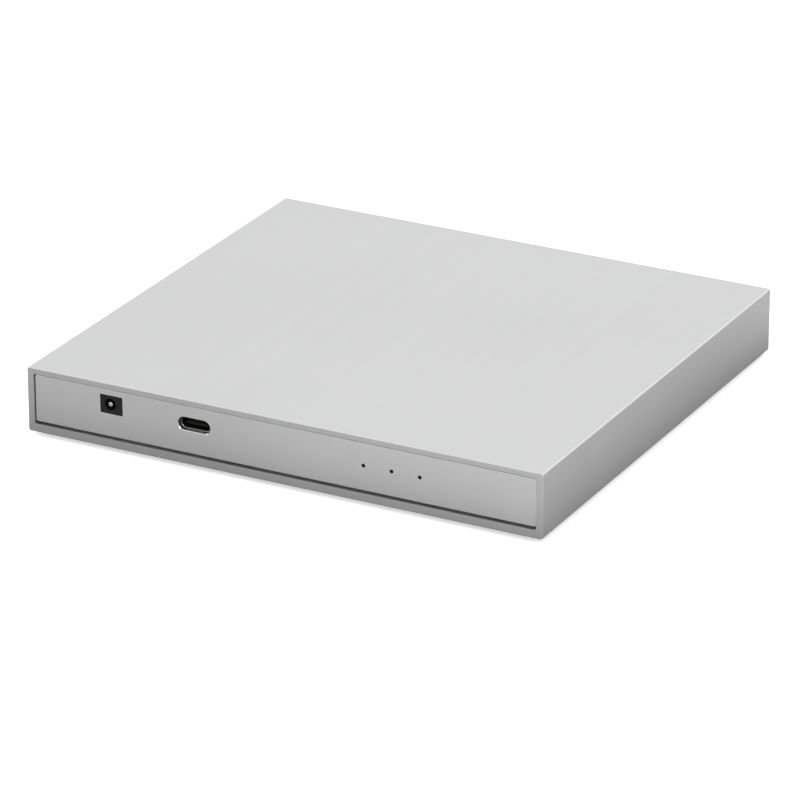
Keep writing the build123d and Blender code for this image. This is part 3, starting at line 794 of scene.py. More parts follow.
def finish_table(look):
    """What makes each finish, by name, and the values that it takes."""
    turned = (900.0, 900.0, 7000.0)
    drawn = (2600.0, 90.0, 2600.0)
    rolled = (1700.0, 14.0, 1700.0)
    return {
        "machined_edge": (machined_edge,),
        "folded_sheet": (metal, (0.6, 0.605, 0.61), 0.32, 0.44, rolled, 3e-6),
        "black_steel": (metal, (0.045, 0.045, 0.048), 0.36, 0.5, turned),
        "nickelled_steel": (metal, (0.62, 0.605, 0.58), 0.2, 0.32, turned),
        "drawn_steel": (metal, (0.6, 0.6, 0.6), 0.18, 0.3, drawn),
        "turned_brass": (metal, (0.72, 0.53, 0.24), 0.24, 0.36, turned),
        "contact_gold": (metal, (0.83, 0.6, 0.24), 0.18, 0.28, drawn),
        "solder": (metal, (0.68, 0.68, 0.67), 0.28, 0.42, (900.0, 900.0, 900.0)),
        "foot_rubber": (moulding, look.rubber_colour, 0.72, 0.88, 3200.0, 1.2e-5),
        "black_moulding": (moulding, look.moulding_colour, 0.5, 0.62, 9000.0, 5e-6, 0.25),
        # Black plastic, darker than the other mouldings: painted shade.
        "tongue_black": (moulding, (0.006, 0.006, 0.006), 0.5, 0.62, 9000.0, 5e-6, 0.2),
        # Dark metal for the walls of holes: painted shade.
        "drilled_wall": (metal, (0.16, 0.16, 0.162), 0.5, 0.66, drawn),
        # A lighter aluminium for the sleeve's mouth walls: painted light.
        "mouth_wall": (metal, (0.7, 0.7, 0.705), 0.5, 0.66, drawn),
        # Dark polished steel for the data socket's lip: painted shade.
        "polished_lip": (metal, (0.13, 0.128, 0.122), 0.16, 0.2, drawn),
        # Dark steel for the data socket's front ring and inside: painted shade.
        "socket_steel": (metal, (0.22, 0.215, 0.2), 0.26, 0.38, drawn),
        "chip_resin": (moulding, (0.02, 0.02, 0.022), 0.5, 0.66, 7000.0, 4e-6),
        "fired_ceramic": (moulding, (0.4, 0.29, 0.19), 0.42, 0.56, 6000.0),
        "white_ceramic": (moulding, (0.7, 0.7, 0.68), 0.4, 0.52, 6000.0),
        "resistor_glaze": (moulding, (0.015, 0.015, 0.017), 0.2, 0.3, 5000.0),
        "pressed_powder": (moulding, (0.15, 0.15, 0.16), 0.6, 0.78, 5200.0, 1.4e-5),
        "ochre_moulding": (moulding, look.capacitor_colour, 0.4, 0.54),
        "polarity_stripe": (moulding, (0.2, 0.075, 0.03), 0.4, 0.54),
        "red_moulding": (moulding, look.switch_colour, 0.34, 0.48),
        "white_moulding": (moulding, (0.74, 0.73, 0.69), 0.34, 0.48),
        "lamp_body": (moulding, (0.78, 0.78, 0.75), 0.3, 0.42),
        "lamp_lens": (moulding, (0.84, 0.86, 0.8), 0.12, 0.2, 4000.0, 2e-6, 0.5, 700.0, (0.92, 1.04)),
        "laminate": (moulding, (0.33, 0.3, 0.14), 0.55, 0.7, 2600.0, 1.5e-5),
    }


MADE = {}


def finish(name):
    """A finish of the enclosure, made the first time that a piece asks for it."""
    if name not in MADE:
        maker, *values = finish_table(bpy.context.scene.enclosure_look)[name]
        MADE[name] = maker(name, *values)
    return MADE[name]


# Settings

COLOUR = {"subtype": "COLOR", "size": 3, "min": 0.0, "max": 1.0}


class EnclosureLook(bpy.types.PropertyGroup):
    """Colours and wear of the enclosure's finishes"""

    blast_colour: FloatVectorProperty(
        name="Aluminium colour", description="Colour of the blasted sleeve and panels",
        **COLOUR, default=(0.66, 0.662, 0.665),
    )
    blast_dullness: FloatProperty(
        name="Aluminium dullness", description="How far the blasted surface spreads a reflection",
        min=0.05, max=1.0, default=0.46, subtype="FACTOR",
    )
    edge_wear: FloatProperty(
        name="Edge wear", description="How far in from an edge handling has brightened the metal",
        min=0.0, max=0.003, default=0.0005, unit="LENGTH",
    )
    mask_colour: FloatVectorProperty(
        name="Board colour", description="Colour of the circuit board's lacquer",
        **COLOUR, default=(0.012, 0.085, 0.035),
    )
    rubber_colour: FloatVectorProperty(
        name="Rubber colour", description="Colour of the feet",
        **COLOUR, default=(0.03, 0.03, 0.032),
    )
    moulding_colour: FloatVectorProperty(
        name="Socket colour", description="Colour of the black mouldings of the sockets",
        **COLOUR, default=(0.010, 0.010, 0.0105),
    )
    switch_colour: FloatVectorProperty(
        name="Switch colour", description="Colour of the mode switch's body",
        **COLOUR, default=(0.5, 0.035, 0.03),
    )
    capacitor_colour: FloatVectorProperty(
        name="Capacitor colour", description="Colour of the two moulded capacitors",
        **COLOUR, default=(0.62, 0.38, 0.1),
    )


class EnclosureSizes(bpy.types.PropertyGroup):
    """Small sizes that finish the edges of the pieces"""

    sleeve_radius: FloatProperty(
        name="Sleeve edge radius", description="Rounding of the sleeve's four long edges",
        min=0.0001, max=0.0015, default=0.0006, unit="LENGTH",
    )
    mouth_bevel: FloatProperty(
        name="Mouth bevel", description="Bevel round the outside of both mouths of the sleeve",
        min=0.00005, max=0.0006, default=0.00035, unit="LENGTH",
    )
    panel_corner: FloatProperty(
        name="Panel corner radius", description="Rounding of the corners of both panels",
        min=0.0001, max=0.003, default=0.0005, unit="LENGTH",
    )
    panel_edge: FloatProperty(
        name="Panel edge", description="Broken edge round the outside of both panels",
        min=0.00002, max=0.0004, default=0.00012, unit="LENGTH",
    )
    slot_chamfer: FloatProperty(
        name="Slot chamfer", description="Bright chamfer round the data socket's slot",
        min=0.00002, max=0.0005, default=0.00015, unit="LENGTH",
    )
    foot_dish: FloatProperty(
        name="Foot dish", description="Depth of the hollow under each foot",
        min=0.0, max=0.0008, default=0.0003, unit="LENGTH",
    )
    moulded_edge: FloatProperty(
        name="Moulded edge", description="Rounding of the edges of the small mouldings",
        min=0.00002, max=0.0003, default=0.0001, unit="LENGTH",
    )


class EnclosureStage(bpy.types.PropertyGroup):
    """The light and the camera"""

    lamp_power: FloatProperty(
        name="Lamp power", description="Power of the lamps that light the whole object, as a share",
        min=0.0, max=10.0, default=1.0, subtype="FACTOR",
    )
    azimuth: FloatProperty(
        name="Camera azimuth", description="How far the camera stands round to the right of the front",
        default=math.radians(27.553), subtype="ANGLE",
    )
    elevation: FloatProperty(
        name="Camera elevation", description="How far the camera looks down",
        default=math.radians(23.061), subtype="ANGLE",
    )
    distance: FloatProperty(
        name="Camera distance", description="From the camera to the middle of the sleeve's underside",
        default=9.186 * SLEEVE_WIDTH, unit="LENGTH",
    )
    focal_length: FloatProperty(
        name="Focal length", description="Focal length of the lens, in millimetres",
        default=231.9, min=1.0,
    )


# Sleeve, panels and feet

SIDE_WALL = 1.8 * MM
ROOF_WALL = 1.6 * MM
FLOOR_WALL = 2.25 * MM
CAVITY_LOW = SLEEVE_LOW + Vector((SIDE_WALL, 0, FLOOR_WALL))
CAVITY_HIGH = SLEEVE_HIGH - Vector((SIDE_WALL, 0, ROOF_WALL))
RIB_Z = 13.35 * MM
RIB_REACH = 1.3 * MM
RIB_THICKNESS = 1.2 * MM
BOARD_LOW, BOARD_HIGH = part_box("main_board")
BOARD_TOP = BOARD_HIGH.z
PAST = 1 * MM


def make_sleeve(sizes):
    """The extruded tube: rounded outside, with broken mouths and a guide rib at each side."""
    tube = start_block("sleeve_tube", SLEEVE_LOW, SLEEVE_HIGH)
    bevel_edges(tube, runs_along(1), sizes.sleeve_radius, 6)
    room = Vector((0, PAST, 0))
    cavity = start_block("cavity", CAVITY_LOW - room, CAVITY_HIGH + room)
    bevel_edges(cavity, runs_along(1), 0.5 * MM, 4)
    cut(tube, cavity)
    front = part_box("front_panel")[1].y
    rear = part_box("rear_panel")[0].y
    for side in (-1, 1):
        tip = side * (CAVITY_HIGH.x - RIB_REACH)
        root = side * (CAVITY_HIGH.x + SIDE_WALL / 2)
        low = (min(tip, root), front, RIB_Z)
        high = (max(tip, root), rear, RIB_Z + RIB_THICKNESS)
        rib = start_block("rib", low, high)
        bevel_edges(rib, lies_at(0, tip), 0.2 * MM, 2)
        weld(tube, rib)

    def outside(p):
        room = 0.3 * MM
        return abs(p.x) > CAVITY_HIGH.x + room or not CAVITY_LOW.z - room < p.z < CAVITY_HIGH.z + room

    def at_mouth(a, b):
        return any(lies_at(1, y)(a, b) for y in (SLEEVE_LOW.y, SLEEVE_HIGH.y))

    bevel_edges(tube, lambda a, b: at_mouth(a, b) and outside(a), sizes.mouth_bevel, 3)
    bevel_edges(tube, lambda a, b: at_mouth(a, b) and not outside(a), 0.12 * MM, 1)
    slice_at(tube, 1, front, rear)
    look = bpy.context.scene.enclosure_look
    coat(tube, blasted_aluminium("sleeve_aluminium", SLEEVE_LOW, SLEEVE_HIGH, look),
         blasted_aluminium("sleeve_end_aluminium_painted_shade", SLEEVE_LOW, SLEEVE_HIGH, look, 0.85),
         finish("mouth_wall"), finish("machined_edge"))
    # The end faces of the sleeve take a darker copy of its aluminium: painted shade.
    coat_faces(tube, 1, lambda middle, normal: abs(normal.y) > 0.95)
    reach = 0.55 * MM
    coat_faces(tube, 3, lambda middle, normal: 0.3 < abs(normal.y) < 0.95 and not outside(middle)
               and abs(middle.x) > CAVITY_HIGH.x - reach and middle.z < CAVITY_LOW.z + reach)
    # The cavity's side walls at both mouths take a lighter aluminium: painted light in the gap.
    coat_faces(tube, 2, lambda middle, normal: abs(normal.x) > 0.95 and not front < middle.y < rear
               and abs(middle.x) < CAVITY_HIGH.x + MERGE)
    return smooth(tube, 40)


def start_panel(name, node, outer, sizes):
    """A plate with rounded corners, whose outer face has a broken edge."""
    plate = start_block(name, *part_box(node))
    bevel_edges(plate, runs_along(1), sizes.panel_corner, 6)
    return bevel_edges(plate, lies_at(1, outer), sizes.panel_edge, 2)


def make_front_panel(sizes):
    """The socket panel: square jack opening, chamfered slot, three pinholes and blind screw holes."""
    low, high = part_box("front_panel")
    panel = start_panel("socket_panel", "front_panel", low.y, sizes)
    coat(panel, blasted_aluminium("socket_panel_aluminium", low, high, bpy.context.scene.enclosure_look),
         finish("machined_edge"), finish("drilled_wall"))
    jack_low, jack_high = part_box("dc_jack_housing")
    gap = 0.1 * MM
    corner_low = Vector((jack_low.x - gap, low.y - PAST, jack_low.z - gap))
    corner_high = Vector((jack_high.x + gap, high.y + PAST, jack_high.z + gap))
    opening = start_block("jack_opening", corner_low, corner_high)
    bevel_edges(opening, runs_along(1), 0.12 * MM, 2)
    cut(panel, opening)
    slot_low, slot_high = usb_section(0.16 * MM)
    slot_low.y, slot_high.y = low.y - PAST, high.y + PAST
    cut(panel, start_slot("socket_slot", slot_low, slot_high))
    for name in LAMP_NODES:
        lamp_low, lamp_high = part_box(name)
        x, z_lamp = (lamp_low.x + lamp_high.x) / 2, (lamp_low.z + lamp_high.z) / 2
        pinhole = start_rod("pinhole", (x, low.y - PAST, z_lamp), (x, high.y + PAST, z_lamp),
                            0.52 * MM, 24)
        cut(panel, pinhole)
        room = 0.55 * MM
        rim = within((x - room, low.y - MERGE, z_lamp - room), (x + room, low.y + MERGE, z_lamp + room))
        bevel_edges(panel, rim, 0.06 * MM, 2, 1)
    screw_low, screw_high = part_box("front_panel_screws")
    x, z = screw_high.x - SMALL_HEAD, (screw_low.z + screw_high.z) / 2
    for side in (-1, 1):
        hole = start_rod("blind_hole", (side * x, high.y - 1.4 * MM, z), (side * x, high.y + PAST, z),
                         1.05 * MM, 24)
        cut(panel, hole)
    rim_low = Vector((corner_low.x - gap, low.y - MERGE, corner_low.z - gap))
    rim_high = Vector((corner_high.x + gap, low.y + MERGE, corner_high.z + gap))
    bevel_edges(panel, within(rim_low, rim_high), 0.06 * MM, 1, 1)
    rim_low = Vector((slot_low.x - gap, low.y - MERGE, slot_low.z - gap))
    rim_high = Vector((slot_high.x + gap, low.y + MERGE, slot_high.z + gap))
    bevel_edges(panel, within(rim_low, rim_high), sizes.slot_chamfer, 1, 1)

    def painted_shade_wall(middle, normal):
        in_slot = slot_low.x < middle.x < slot_high.x and slot_low.z < middle.z < slot_high.z
        in_pinhole = middle.x > 0 and abs(middle.z - z_lamp) < 0.6 * MM
        return abs(normal.y) < 0.1 and (in_slot or in_pinhole)

    # The walls of the slot and the pinholes take dark metal: painted shade.
    coat_faces(panel, 2, painted_shade_wall)
    return smooth(panel, 40)


def make_rear_panel(sizes):
    """The plain plate at the back, countersunk for two screws."""
    low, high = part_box("rear_panel")
    panel = start_panel("back_panel", "rear_panel", high.y, sizes)
    coat(panel, blasted_aluminium("back_panel_aluminium", low, high, bpy.context.scene.enclosure_look),
         finish("machined_edge"))
    screw_low, screw_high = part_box("rear_screws")
    x, z = screw_high.x - REAR_HEAD, (screw_low.z + screw_high.z) / 2
    cone_depth = REAR_HEAD - REAR_SHANK
    room = 0.08 * MM
    for side in (-1, 1):
        seat = start_rod(
            "seat", (side * x, high.y - cone_depth, z), (side * x, high.y + room, z),
            REAR_SHANK + room, 40, REAR_HEAD + 2 * room,
        )
        hole = start_rod("hole", (side * x, low.y - PAST, z), (side * x, high.y, z),
                         REAR_SHANK + 0.2 * MM, 40)
        cut(panel, seat, hole)
    coat_faces(panel, 1, lambda middle, normal: 0.2 < normal.y < 0.9
               and abs(abs(middle.x) - x) < REAR_HEAD and abs(middle.z - z) < REAR_HEAD)
    return smooth(panel, 30)


def usb_section(gap):
    """Lowest and highest corner of the data socket's mouth, grown by a gap."""
    low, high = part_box("usb_c_shell")
    return Vector((low.x - gap, low.y, BOARD_TOP - gap)), Vector((high.x + gap, high.y, high.z + gap))


def make_foot(name, node, sizes):
    """A rubber foot with a soft rim and a hollow underneath."""
    low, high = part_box(node)
    x, y = (low.x + high.x) / 2, (low.y + high.y) / 2
    foot = start_rod(name, (x, y, low.z), (x, y, high.z), (high.x - low.x) / 2, 64)
    bevel_edges(foot, lies_at(2, low.z), 0.45 * MM, 5)
    bevel_edges(foot, lies_at(2, high.z), 0.1 * MM, 2)
    underside = lambda middle, normal: normal.z < -0.9 and near(middle.z, low.z)
    sink_face(foot, underside, 0.55 * MM, 0)
    sink_face(foot, lambda middle, normal: underside(middle, normal) and near(middle.x, x, 0.1 * MM),
              0.35 * MM, sizes.foot_dish)
    smooth(foot, 50)
    return coat(foot, finish("foot_rubber"))


class ENCLOSURE_OT_housing(bpy.types.Operator):
    """Models the sleeve and both panels, and gives them their blasted finish"""

    bl_idname = "enclosure.housing"
    bl_label = "Sleeve and panels"

    def execute(self, context):
        sizes = context.scene.enclosure_sizes
        place(make_sleeve(sizes), "anodised_aluminium", "sleeve")
        place(make_front_panel(sizes), "anodised_aluminium", "front_panel")
        place(make_rear_panel(sizes), "anodised_aluminium", "rear_panel")
        return {"FINISHED"}


class ENCLOSURE_OT_feet(bpy.types.Operator):
    """Models the four rubber feet"""

    bl_idname = "enclosure.feet"
    bl_label = "Feet"

    def execute(self, context):
        for corner in ("front_left", "front_right", "rear_left", "rear_right"):
            node = "foot_" + corner
            foot = make_foot("rubber_" + node, node, context.scene.enclosure_sizes)
            place(foot, "foot_rubber", node)
        return {"FINISHED"}


# Fasteners

SMALL_SHANK = 1.0 * MM
SMALL_HEAD = 1.75 * MM
SMALL_HEAD_HEIGHT = 1.2 * MM
REAR_SHANK = 1.25 * MM
REAR_HEAD = 2.3 * MM
REAR_SCREW_LENGTH = 5.0 * MM
SMALL_PITCH = 0.4 * MM
REAR_PITCH = 0.45 * MM
TO_FRONT = (math.pi / 2, 0, 0)
TO_REAR = (-math.pi / 2, 0, 0)
NUT_ACROSS_FLATS = 5.0 * MM
STANDOFF_ACROSS_FLATS = 4.5 * MM


def thread(radius, low, high, pitch, depth):
    """The profile of a thread between two heights."""
    steps = []
    turns = int((high - low) / pitch)
    for n in range(turns):
        foot = low + n * pitch
        steps += [(radius, foot + 0.1 * pitch), (radius - depth, foot + 0.5 * pitch)]
        steps += [(radius - depth, foot + 0.6 * pitch), (radius, foot + pitch)]
    return steps


def make_screw(name, radius, length, head_radius, head, pitch):
    """A screw with a cross recess that stands on its tip, with the seat of its head at the origin.

    The head is a list of radius and height above the seat."""
    tip = 0.3 * MM
    profile = [(0.72 * radius, -length), (radius, tip - length)]
    profile += thread(radius, tip - length, -0.1 * MM, pitch, 0.14 * radius)
    profile += [(radius, 0.0)] + head
    screw = start_turned(name, profile, 28)
    top = head[-1][1]
    depth = 0.55 * top
    for across in (False, True):
        long, short = 0.56 * head_radius, 0.13 * head_radius
        x, y = (short, long) if across else (long, short)
        wedge = start_block("wedge", (-x, -y, top - depth), (x, y, top + PAST))
        resize_face(wedge, facing(2, -1), 0.62)
        cut(screw, wedge)
    return smooth(screw, 35)


def pan_head():
    """A small screw's rounded head."""
    shares = [(1.0, 0.0), (1.0, 0.5), (0.965, 0.72), (0.87, 0.89), (0.72, 0.97), (0.62, 1.0)]
    return [(SMALL_HEAD * wide, SMALL_HEAD_HEIGHT * high) for wide, high in shares]


def countersunk_head():
    """A rear screw's sunk head."""
    depth = REAR_HEAD - REAR_SHANK
    return [(REAR_HEAD, 0.95 * depth), (REAR_HEAD, depth - 0.03 * MM), (REAR_HEAD - 0.03 * MM, depth)]


def thread_cutter(radius, low, high, pitch):
    """What a tap takes out of a hole."""
    return start_turned("tap", [(radius, low), (radius, low + 0.05 * MM)]
                        + thread(radius, low + 0.05 * MM, high, pitch, 0.1 * radius), 24)


def make_nut(name, across_flats, low, high, bore, pitch):
    """A hexagonal nut about Z with a chamfered top end and a threaded bore."""
    nut = start_hexagon(name, across_flats, low, high)
    bevel_edges(nut, lies_at(2, high), 0.12 * MM, 2)
    bevel_edges(nut, runs_along(2), 0.06 * MM, 1)
    cut(nut, thread_cutter(bore, low - pitch, high + 2 * pitch, pitch))
    smooth(nut, 25)
    return nut


def copies_at(model, name, places, turn=(0, 0, 0)):
    """One piece made of copies of a model at several places. The model is removed."""
    copies = [copy_of(model, name + "_copy", spot, turn) for spot in places]
    bpy.data.objects.remove(model)
    return join(name, copies)


def mirror_places(x, y, z):
    """A place to the left and the same place to the right."""
    return [(-x, y, z), (x, y, z)]


def standoff_places():
    """The axes of the four standoffs."""
    low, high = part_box("board_standoffs")
    x = high.x - STANDOFF_ACROSS_FLATS / math.sqrt(3)
    half = STANDOFF_ACROSS_FLATS / 2
    return [(side * x, y) for side in (-1, 1) for y in (low.y + half, high.y - half)]


class ENCLOSURE_OT_fasteners(bpy.types.Operator):
    """Models the screws, the nuts on the tray and the standoffs under the board"""

    bl_idname = "enclosure.fasteners"
    bl_label = "Screws, nuts and standoffs"

    def execute(self, context):
        low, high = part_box("rear_screws")
        sunk = countersunk_head()
        depth = sunk[-1][1]
        screw = coat(make_screw("rear_screw", REAR_SHANK, REAR_SCREW_LENGTH - depth, REAR_HEAD, sunk,
                                REAR_PITCH), finish("black_steel"))
        z = (low.z + high.z) / 2
        rear = mirror_places(high.x - REAR_HEAD, high.y - depth, z)
        place(copies_at(screw, "black_rear_screws", rear, TO_REAR), "black_screw_steel", "rear_screws")
        low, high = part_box("clinch_nuts")
        nut = make_nut("nut", NUT_ACROSS_FLATS, 0, high.y - low.y, REAR_SHANK + 0.08 * MM, REAR_PITCH)
        coat(nut, finish("nickelled_steel"))
        nuts = mirror_places(high.x - NUT_ACROSS_FLATS / math.sqrt(3), high.y, z)
        place(copies_at(nut, "pressed_nuts", nuts, TO_FRONT), "plain_screw_steel", "clinch_nuts")
        self.small_screws()
        low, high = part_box("board_standoffs")
        bar = make_nut("bar", STANDOFF_ACROSS_FLATS, low.z, high.z, SMALL_SHANK + 0.05 * MM, SMALL_PITCH)
        coat(bar, finish("turned_brass"))
        bars = copies_at(bar, "brass_standoffs", [(x, y, 0) for x, y in standoff_places()])
        place(bars, "brass", "board_standoffs")
        return {"FINISHED"}

    def small_screws(self):
        """The screws behind the socket panel and those on the board."""
        low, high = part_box("front_panel_screws")
        seat = high.y - SMALL_HEAD_HEIGHT
        screw = coat(make_screw("panel_screw", SMALL_SHANK, seat - low.y, SMALL_HEAD, pan_head(),
                                SMALL_PITCH), finish("nickelled_steel"))
        spots = mirror_places(high.x - SMALL_HEAD, seat, (low.z + high.z) / 2)
        place(copies_at(screw, "small_panel_screws", spots, TO_REAR), "plain_screw_steel",
              "front_panel_screws")
        low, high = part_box("board_screws")
        screw = coat(make_screw("board_screw", SMALL_SHANK, BOARD_TOP - low.z, SMALL_HEAD, pan_head(),
                                SMALL_PITCH), finish("nickelled_steel"))
        spots = [(x, y, BOARD_TOP) for x, y in standoff_places()]
        place(copies_at(screw, "small_board_screws", spots), "plain_screw_steel", "board_screws")


# Tray


class ENCLOSURE_OT_tray(bpy.types.Operator):
    """Softens the sheared edges of the folded tray and gives it its rolled finish"""

    bl_idname = "enclosure.tray"
    bl_label = "Folded tray"

    def execute(self, context):
        tray = copy_of_node("drive_tray", "folded_tray")
        soften(tray, 0.06 * MM, 1, 40)
        coat(tray, finish("folded_sheet"))
        smooth(tray, 35)
        place(tray, "sheet_aluminium", "drive_tray")
        return {"FINISHED"}


# Board and solder

OUTLINED = (
    "bridge_chip", "firmware_chip", "crystal", "regulator_left", "regulator_right",
    "power_coil_left", "power_coil_right", "power_capacitor_left", "power_capacitor_right",
    "mode_switch_housing",
)


def make_board(look):
    """The circuit board with lacquered faces and bare laminate edges."""
    board = copy_of_node("main_board", "circuit_board")
    outlines = []
    for node in OUTLINED:
        low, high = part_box(node)
        half = (high - low) / 2 + Vector((0.45 * MM, 0.45 * MM, 1))
        outlines.append(((low + high) / 2, half))
    coat(board, solder_mask("lacquered_board", look.mask_colour, outlines), finish("laminate"))
    coat_faces(board, 1, lambda middle, normal: abs(normal.z) < 0.5)
    smooth(board, 30)
    return board


def make_pad(name, x, y, wide, long, height=0.12):
    """A soldered pad on the board with sloping sides. All sizes are in millimetres but the place."""
    low = (x - wide * MM / 2, y - long * MM / 2, BOARD_TOP)
    high = (x + wide * MM / 2, y + long * MM / 2, BOARD_TOP + height * MM)
    pad = start_block(name, low, high)
    return resize_face(pad, facing(2, 1), 0.72)


def pad_row(x, y, wide, long, count, step):
    """A row of pads along X."""
    return repeat(make_pad("pads", x, y, wide, long), count, (step * MM, 0, 0))


def make_solder():
    """Every pad and joint that shows on the board, as one piece."""
    pads = []
    low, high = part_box("firmware_chip")
    first = (low.x + high.x) / 2 - 1.5 * LEAD_PITCH * MM
    for y in (low.y, high.y):
        pads.append(pad_row(first, y, 0.62, 1.1, 4, LEAD_PITCH))
    low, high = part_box("crystal")
    for x in (low.x, high.x):
        for y in (low.y + 0.55 * MM, high.y - 0.55 * MM):
            pads.append(make_pad("pad", x, y, 0.9, 0.9))
    for node in ("regulator_left", "regulator_right"):
        low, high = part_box(node)
        middle = (low.x + high.x) / 2
        for y in (low.y, high.y):
            pads.append(pad_row(middle - REGULATOR_PITCH * MM, y, 0.5, 0.8, 3, REGULATOR_PITCH))
    for node in ("power_coil_left", "power_coil_right"):
        low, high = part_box(node)
        for x in (low.x, high.x):
            pads.append(make_pad("pad", x, (low.y + high.y) / 2, 1.3, 3.0, 0.16))
    for node in ("power_capacitor_left", "power_capacitor_right"):
        low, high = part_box(node)
        for y in (low.y, high.y):
            pads.append(make_pad("pad", (low.x + high.x) / 2, y, 2.6, 1.5, 0.16))
    for node in LAMP_NODES:
        low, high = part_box(node)
        for x in (low.x, high.x):
            pads.append(make_pad("pad", x, (low.y + high.y) / 2 + 0.1 * MM, 0.7, 0.8, 0.1))
    low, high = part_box("mode_switch_housing")
    for y in (low.y, high.y):
        first = (low.x + high.x) / 2 - 0.5 * SWITCH_PITCH * MM
        pads.append(pad_row(first, y, 1.0, 1.2, 2, SWITCH_PITCH))
    for x, y in standoff_places():
        pads += [screw_ring(x, y, BOARD_TOP, 1), screw_ring(x, y, BOARD_LOW.z, -1)]
    return coat(join("solder_joints", pads), finish("solder"))


def screw_ring(x, y, z, side):
    """The bare ring of copper round a screw hole, on one face of the board."""
    thick = 0.04 * MM
    ring = start_rod("ring", (x, y, min(z, z + side * thick)), (x, y, max(z, z + side * thick)),
                     2.35 * MM, 36)
    hole = start_rod("hole", (x, y, z - PAST), (x, y, z + PAST), 1.2 * MM, 36)
    return cut(ring, hole)


class ENCLOSURE_OT_board(bpy.types.Operator):
    """Finishes the circuit board and adds its soldered pads"""

    bl_idname = "enclosure.board"
    bl_label = "Circuit board"

    def execute(self, context):
        place(make_board(context.scene.enclosure_look), "board_laminate", "main_board")
        place(make_solder(), "shell_steel", like="main_board")
        return {"FINISHED"}


# Data socket

USB_WALL = 0.3 * MM
TONGUE_WIDTH = 6.69 * MM
TONGUE_THICKNESS = 0.7 * MM
TONGUE_SETBACK = 0.45 * MM
TONGUE_LENGTH = 4.45 * MM
USB_CONTACT_PITCH = 0.5 * MM
USB_CONTACT_WIDTH = 0.26 * MM
USB_LEG = 0.9 * MM


def make_usb_shell():
    """The drawn shell: a rounded lip, two latch windows on top and four solder legs."""
    low, high = usb_section(0)
    shell = start_slot("drawn_shell", low, high)
    inset = Vector((USB_WALL, -PAST, USB_WALL))
    cut(shell, start_slot("bore", low + inset, high - inset))
    for side in (-1, 1):
        x = (low.x + high.x) / 2 + side * 2.1 * MM
        window = start_block("window", (x - 0.6 * MM, low.y + 2.6 * MM, high.z - 1.6 * USB_WALL),
                             (x + 0.6 * MM, low.y + 4.6 * MM, high.z + PAST))
        bevel_edges(window, runs_along(2), 0.2 * MM, 2)
        cut(shell, window)
    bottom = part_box("usb_c_shell")[0].z
    for x in (low.x, high.x - USB_WALL):
        for y in (BOARD_LOW.y + USB_LEG, high.y - USB_LEG):
            leg = start_block("leg", (x, y - USB_LEG / 2, bottom),
                              (x + USB_WALL, y + USB_LEG / 2, (low.z + high.z) / 2))
            bevel_edges(leg, lies_at(2, bottom), 0.1 * MM, 1)
            weld(shell, leg)
    coat(shell, finish("drawn_steel"), finish("polished_lip"), finish("socket_steel"))
    middle = (low + high) / 2
    radius = (high.z - low.z) / 2
    straight = (high.x - low.x) / 2 - radius

    def inner(p):
        beyond = max(abs(p.x - middle.x) - straight, 0.0)
        return math.hypot(beyond, p.z - middle.z) < radius - USB_WALL / 2

    front_edge = lies_at(1, low.y)
    # The bevel inside the lip is dark polished steel, darker than the shell outside: painted shade.
    bevel_edges(shell, lambda a, b: front_edge(a, b) and inner(a), 0.17 * MM, 1, 1)
    bevel_edges(shell, lambda a, b: front_edge(a, b) and not inner(a), 0.07 * MM, 2)
    # The shell's front ring and its inside take darker steel than its outside: painted shade.
    coat_faces(shell, 2, lambda spot, normal: abs(normal.y) > 0.9 and spot.y < low.y + USB_WALL
               or abs(normal.y) < 0.1 and inner(spot))
    smooth(shell, 35)
    return shell


def make_tongue():
    """The block at the back of the data socket, with its tongue and the step at its root."""
    low, high = usb_section(-USB_WALL)
    mid = (low + high) / 2
    root = low.y + TONGUE_SETBACK + TONGUE_LENGTH
    block = start_slot("tongue_block", (low.x, root, low.z), high)
    half = Vector((TONGUE_WIDTH / 2, 0, TONGUE_THICKNESS / 2))
    tip = low.y + TONGUE_SETBACK
    tongue = start_block("tongue", (mid.x - half.x, tip, mid.z - half.z),
                         (mid.x + half.x, root + 0.3 * MM, mid.z + half.z))
    front_corners = lambda a, b: runs_along(2)(a, b) and near(a.y, tip)
    bevel_edges(tongue, front_corners, 0.65 * MM, 4)
    bevel_edges(tongue, lies_at(1, tip), 0.12 * MM, 2)
    step = start_block("step", (mid.x - half.x, root - 0.7 * MM, mid.z - 0.68 * MM),
                       (mid.x + half.x, root + 0.3 * MM, mid.z + 0.68 * MM))
    weld(block, tongue, step)
    smooth(block, 35)
    # Black plastic made darker than the other black mouldings: painted shade inside the socket.
    return coat(block, finish("tongue_black"))


def make_usb_contacts():
    """Twelve flat contacts on each face of the tongue."""
    low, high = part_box("usb_c_contacts")
    rows = []
    thick = (high.z - low.z - TONGUE_THICKNESS) / 2
    for z in (low.z, high.z - thick):
        strip = start_block("strip", (low.x, low.y, z), (low.x + USB_CONTACT_WIDTH, high.y, z + thick))
        bevel_edges(strip, lies_at(1, low.y), 0.04 * MM, 1)
        rows.append(repeat(strip, 12, (USB_CONTACT_PITCH, 0, 0)))
    return coat(join("tongue_contacts", rows), finish("contact_gold"))


class ENCLOSURE_OT_data_socket(bpy.types.Operator):
    """Models the shell, the tongue and the contacts of the data socket"""

    bl_idname = "enclosure.data_socket"
    bl_label = "Data socket"

    def execute(self, context):
        place(make_usb_shell(), "shell_steel", "usb_c_shell")
        place(make_tongue(), "black_moulding", "usb_c_insulator")
        place(make_usb_contacts(), "contact_gold", "usb_c_contacts")
        return {"FINISHED"}


# Power jack

JACK_BORE = 1.6 * MM
JACK_BORE_DEPTH = 8.5 * MM
JACK_PIN = 0.65 * MM


def jack_axis():
    """The place of the jack's bore and pin across and up."""
    low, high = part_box("dc_jack_pin")
    return (low.x + high.x) / 2, high.z - JACK_PIN


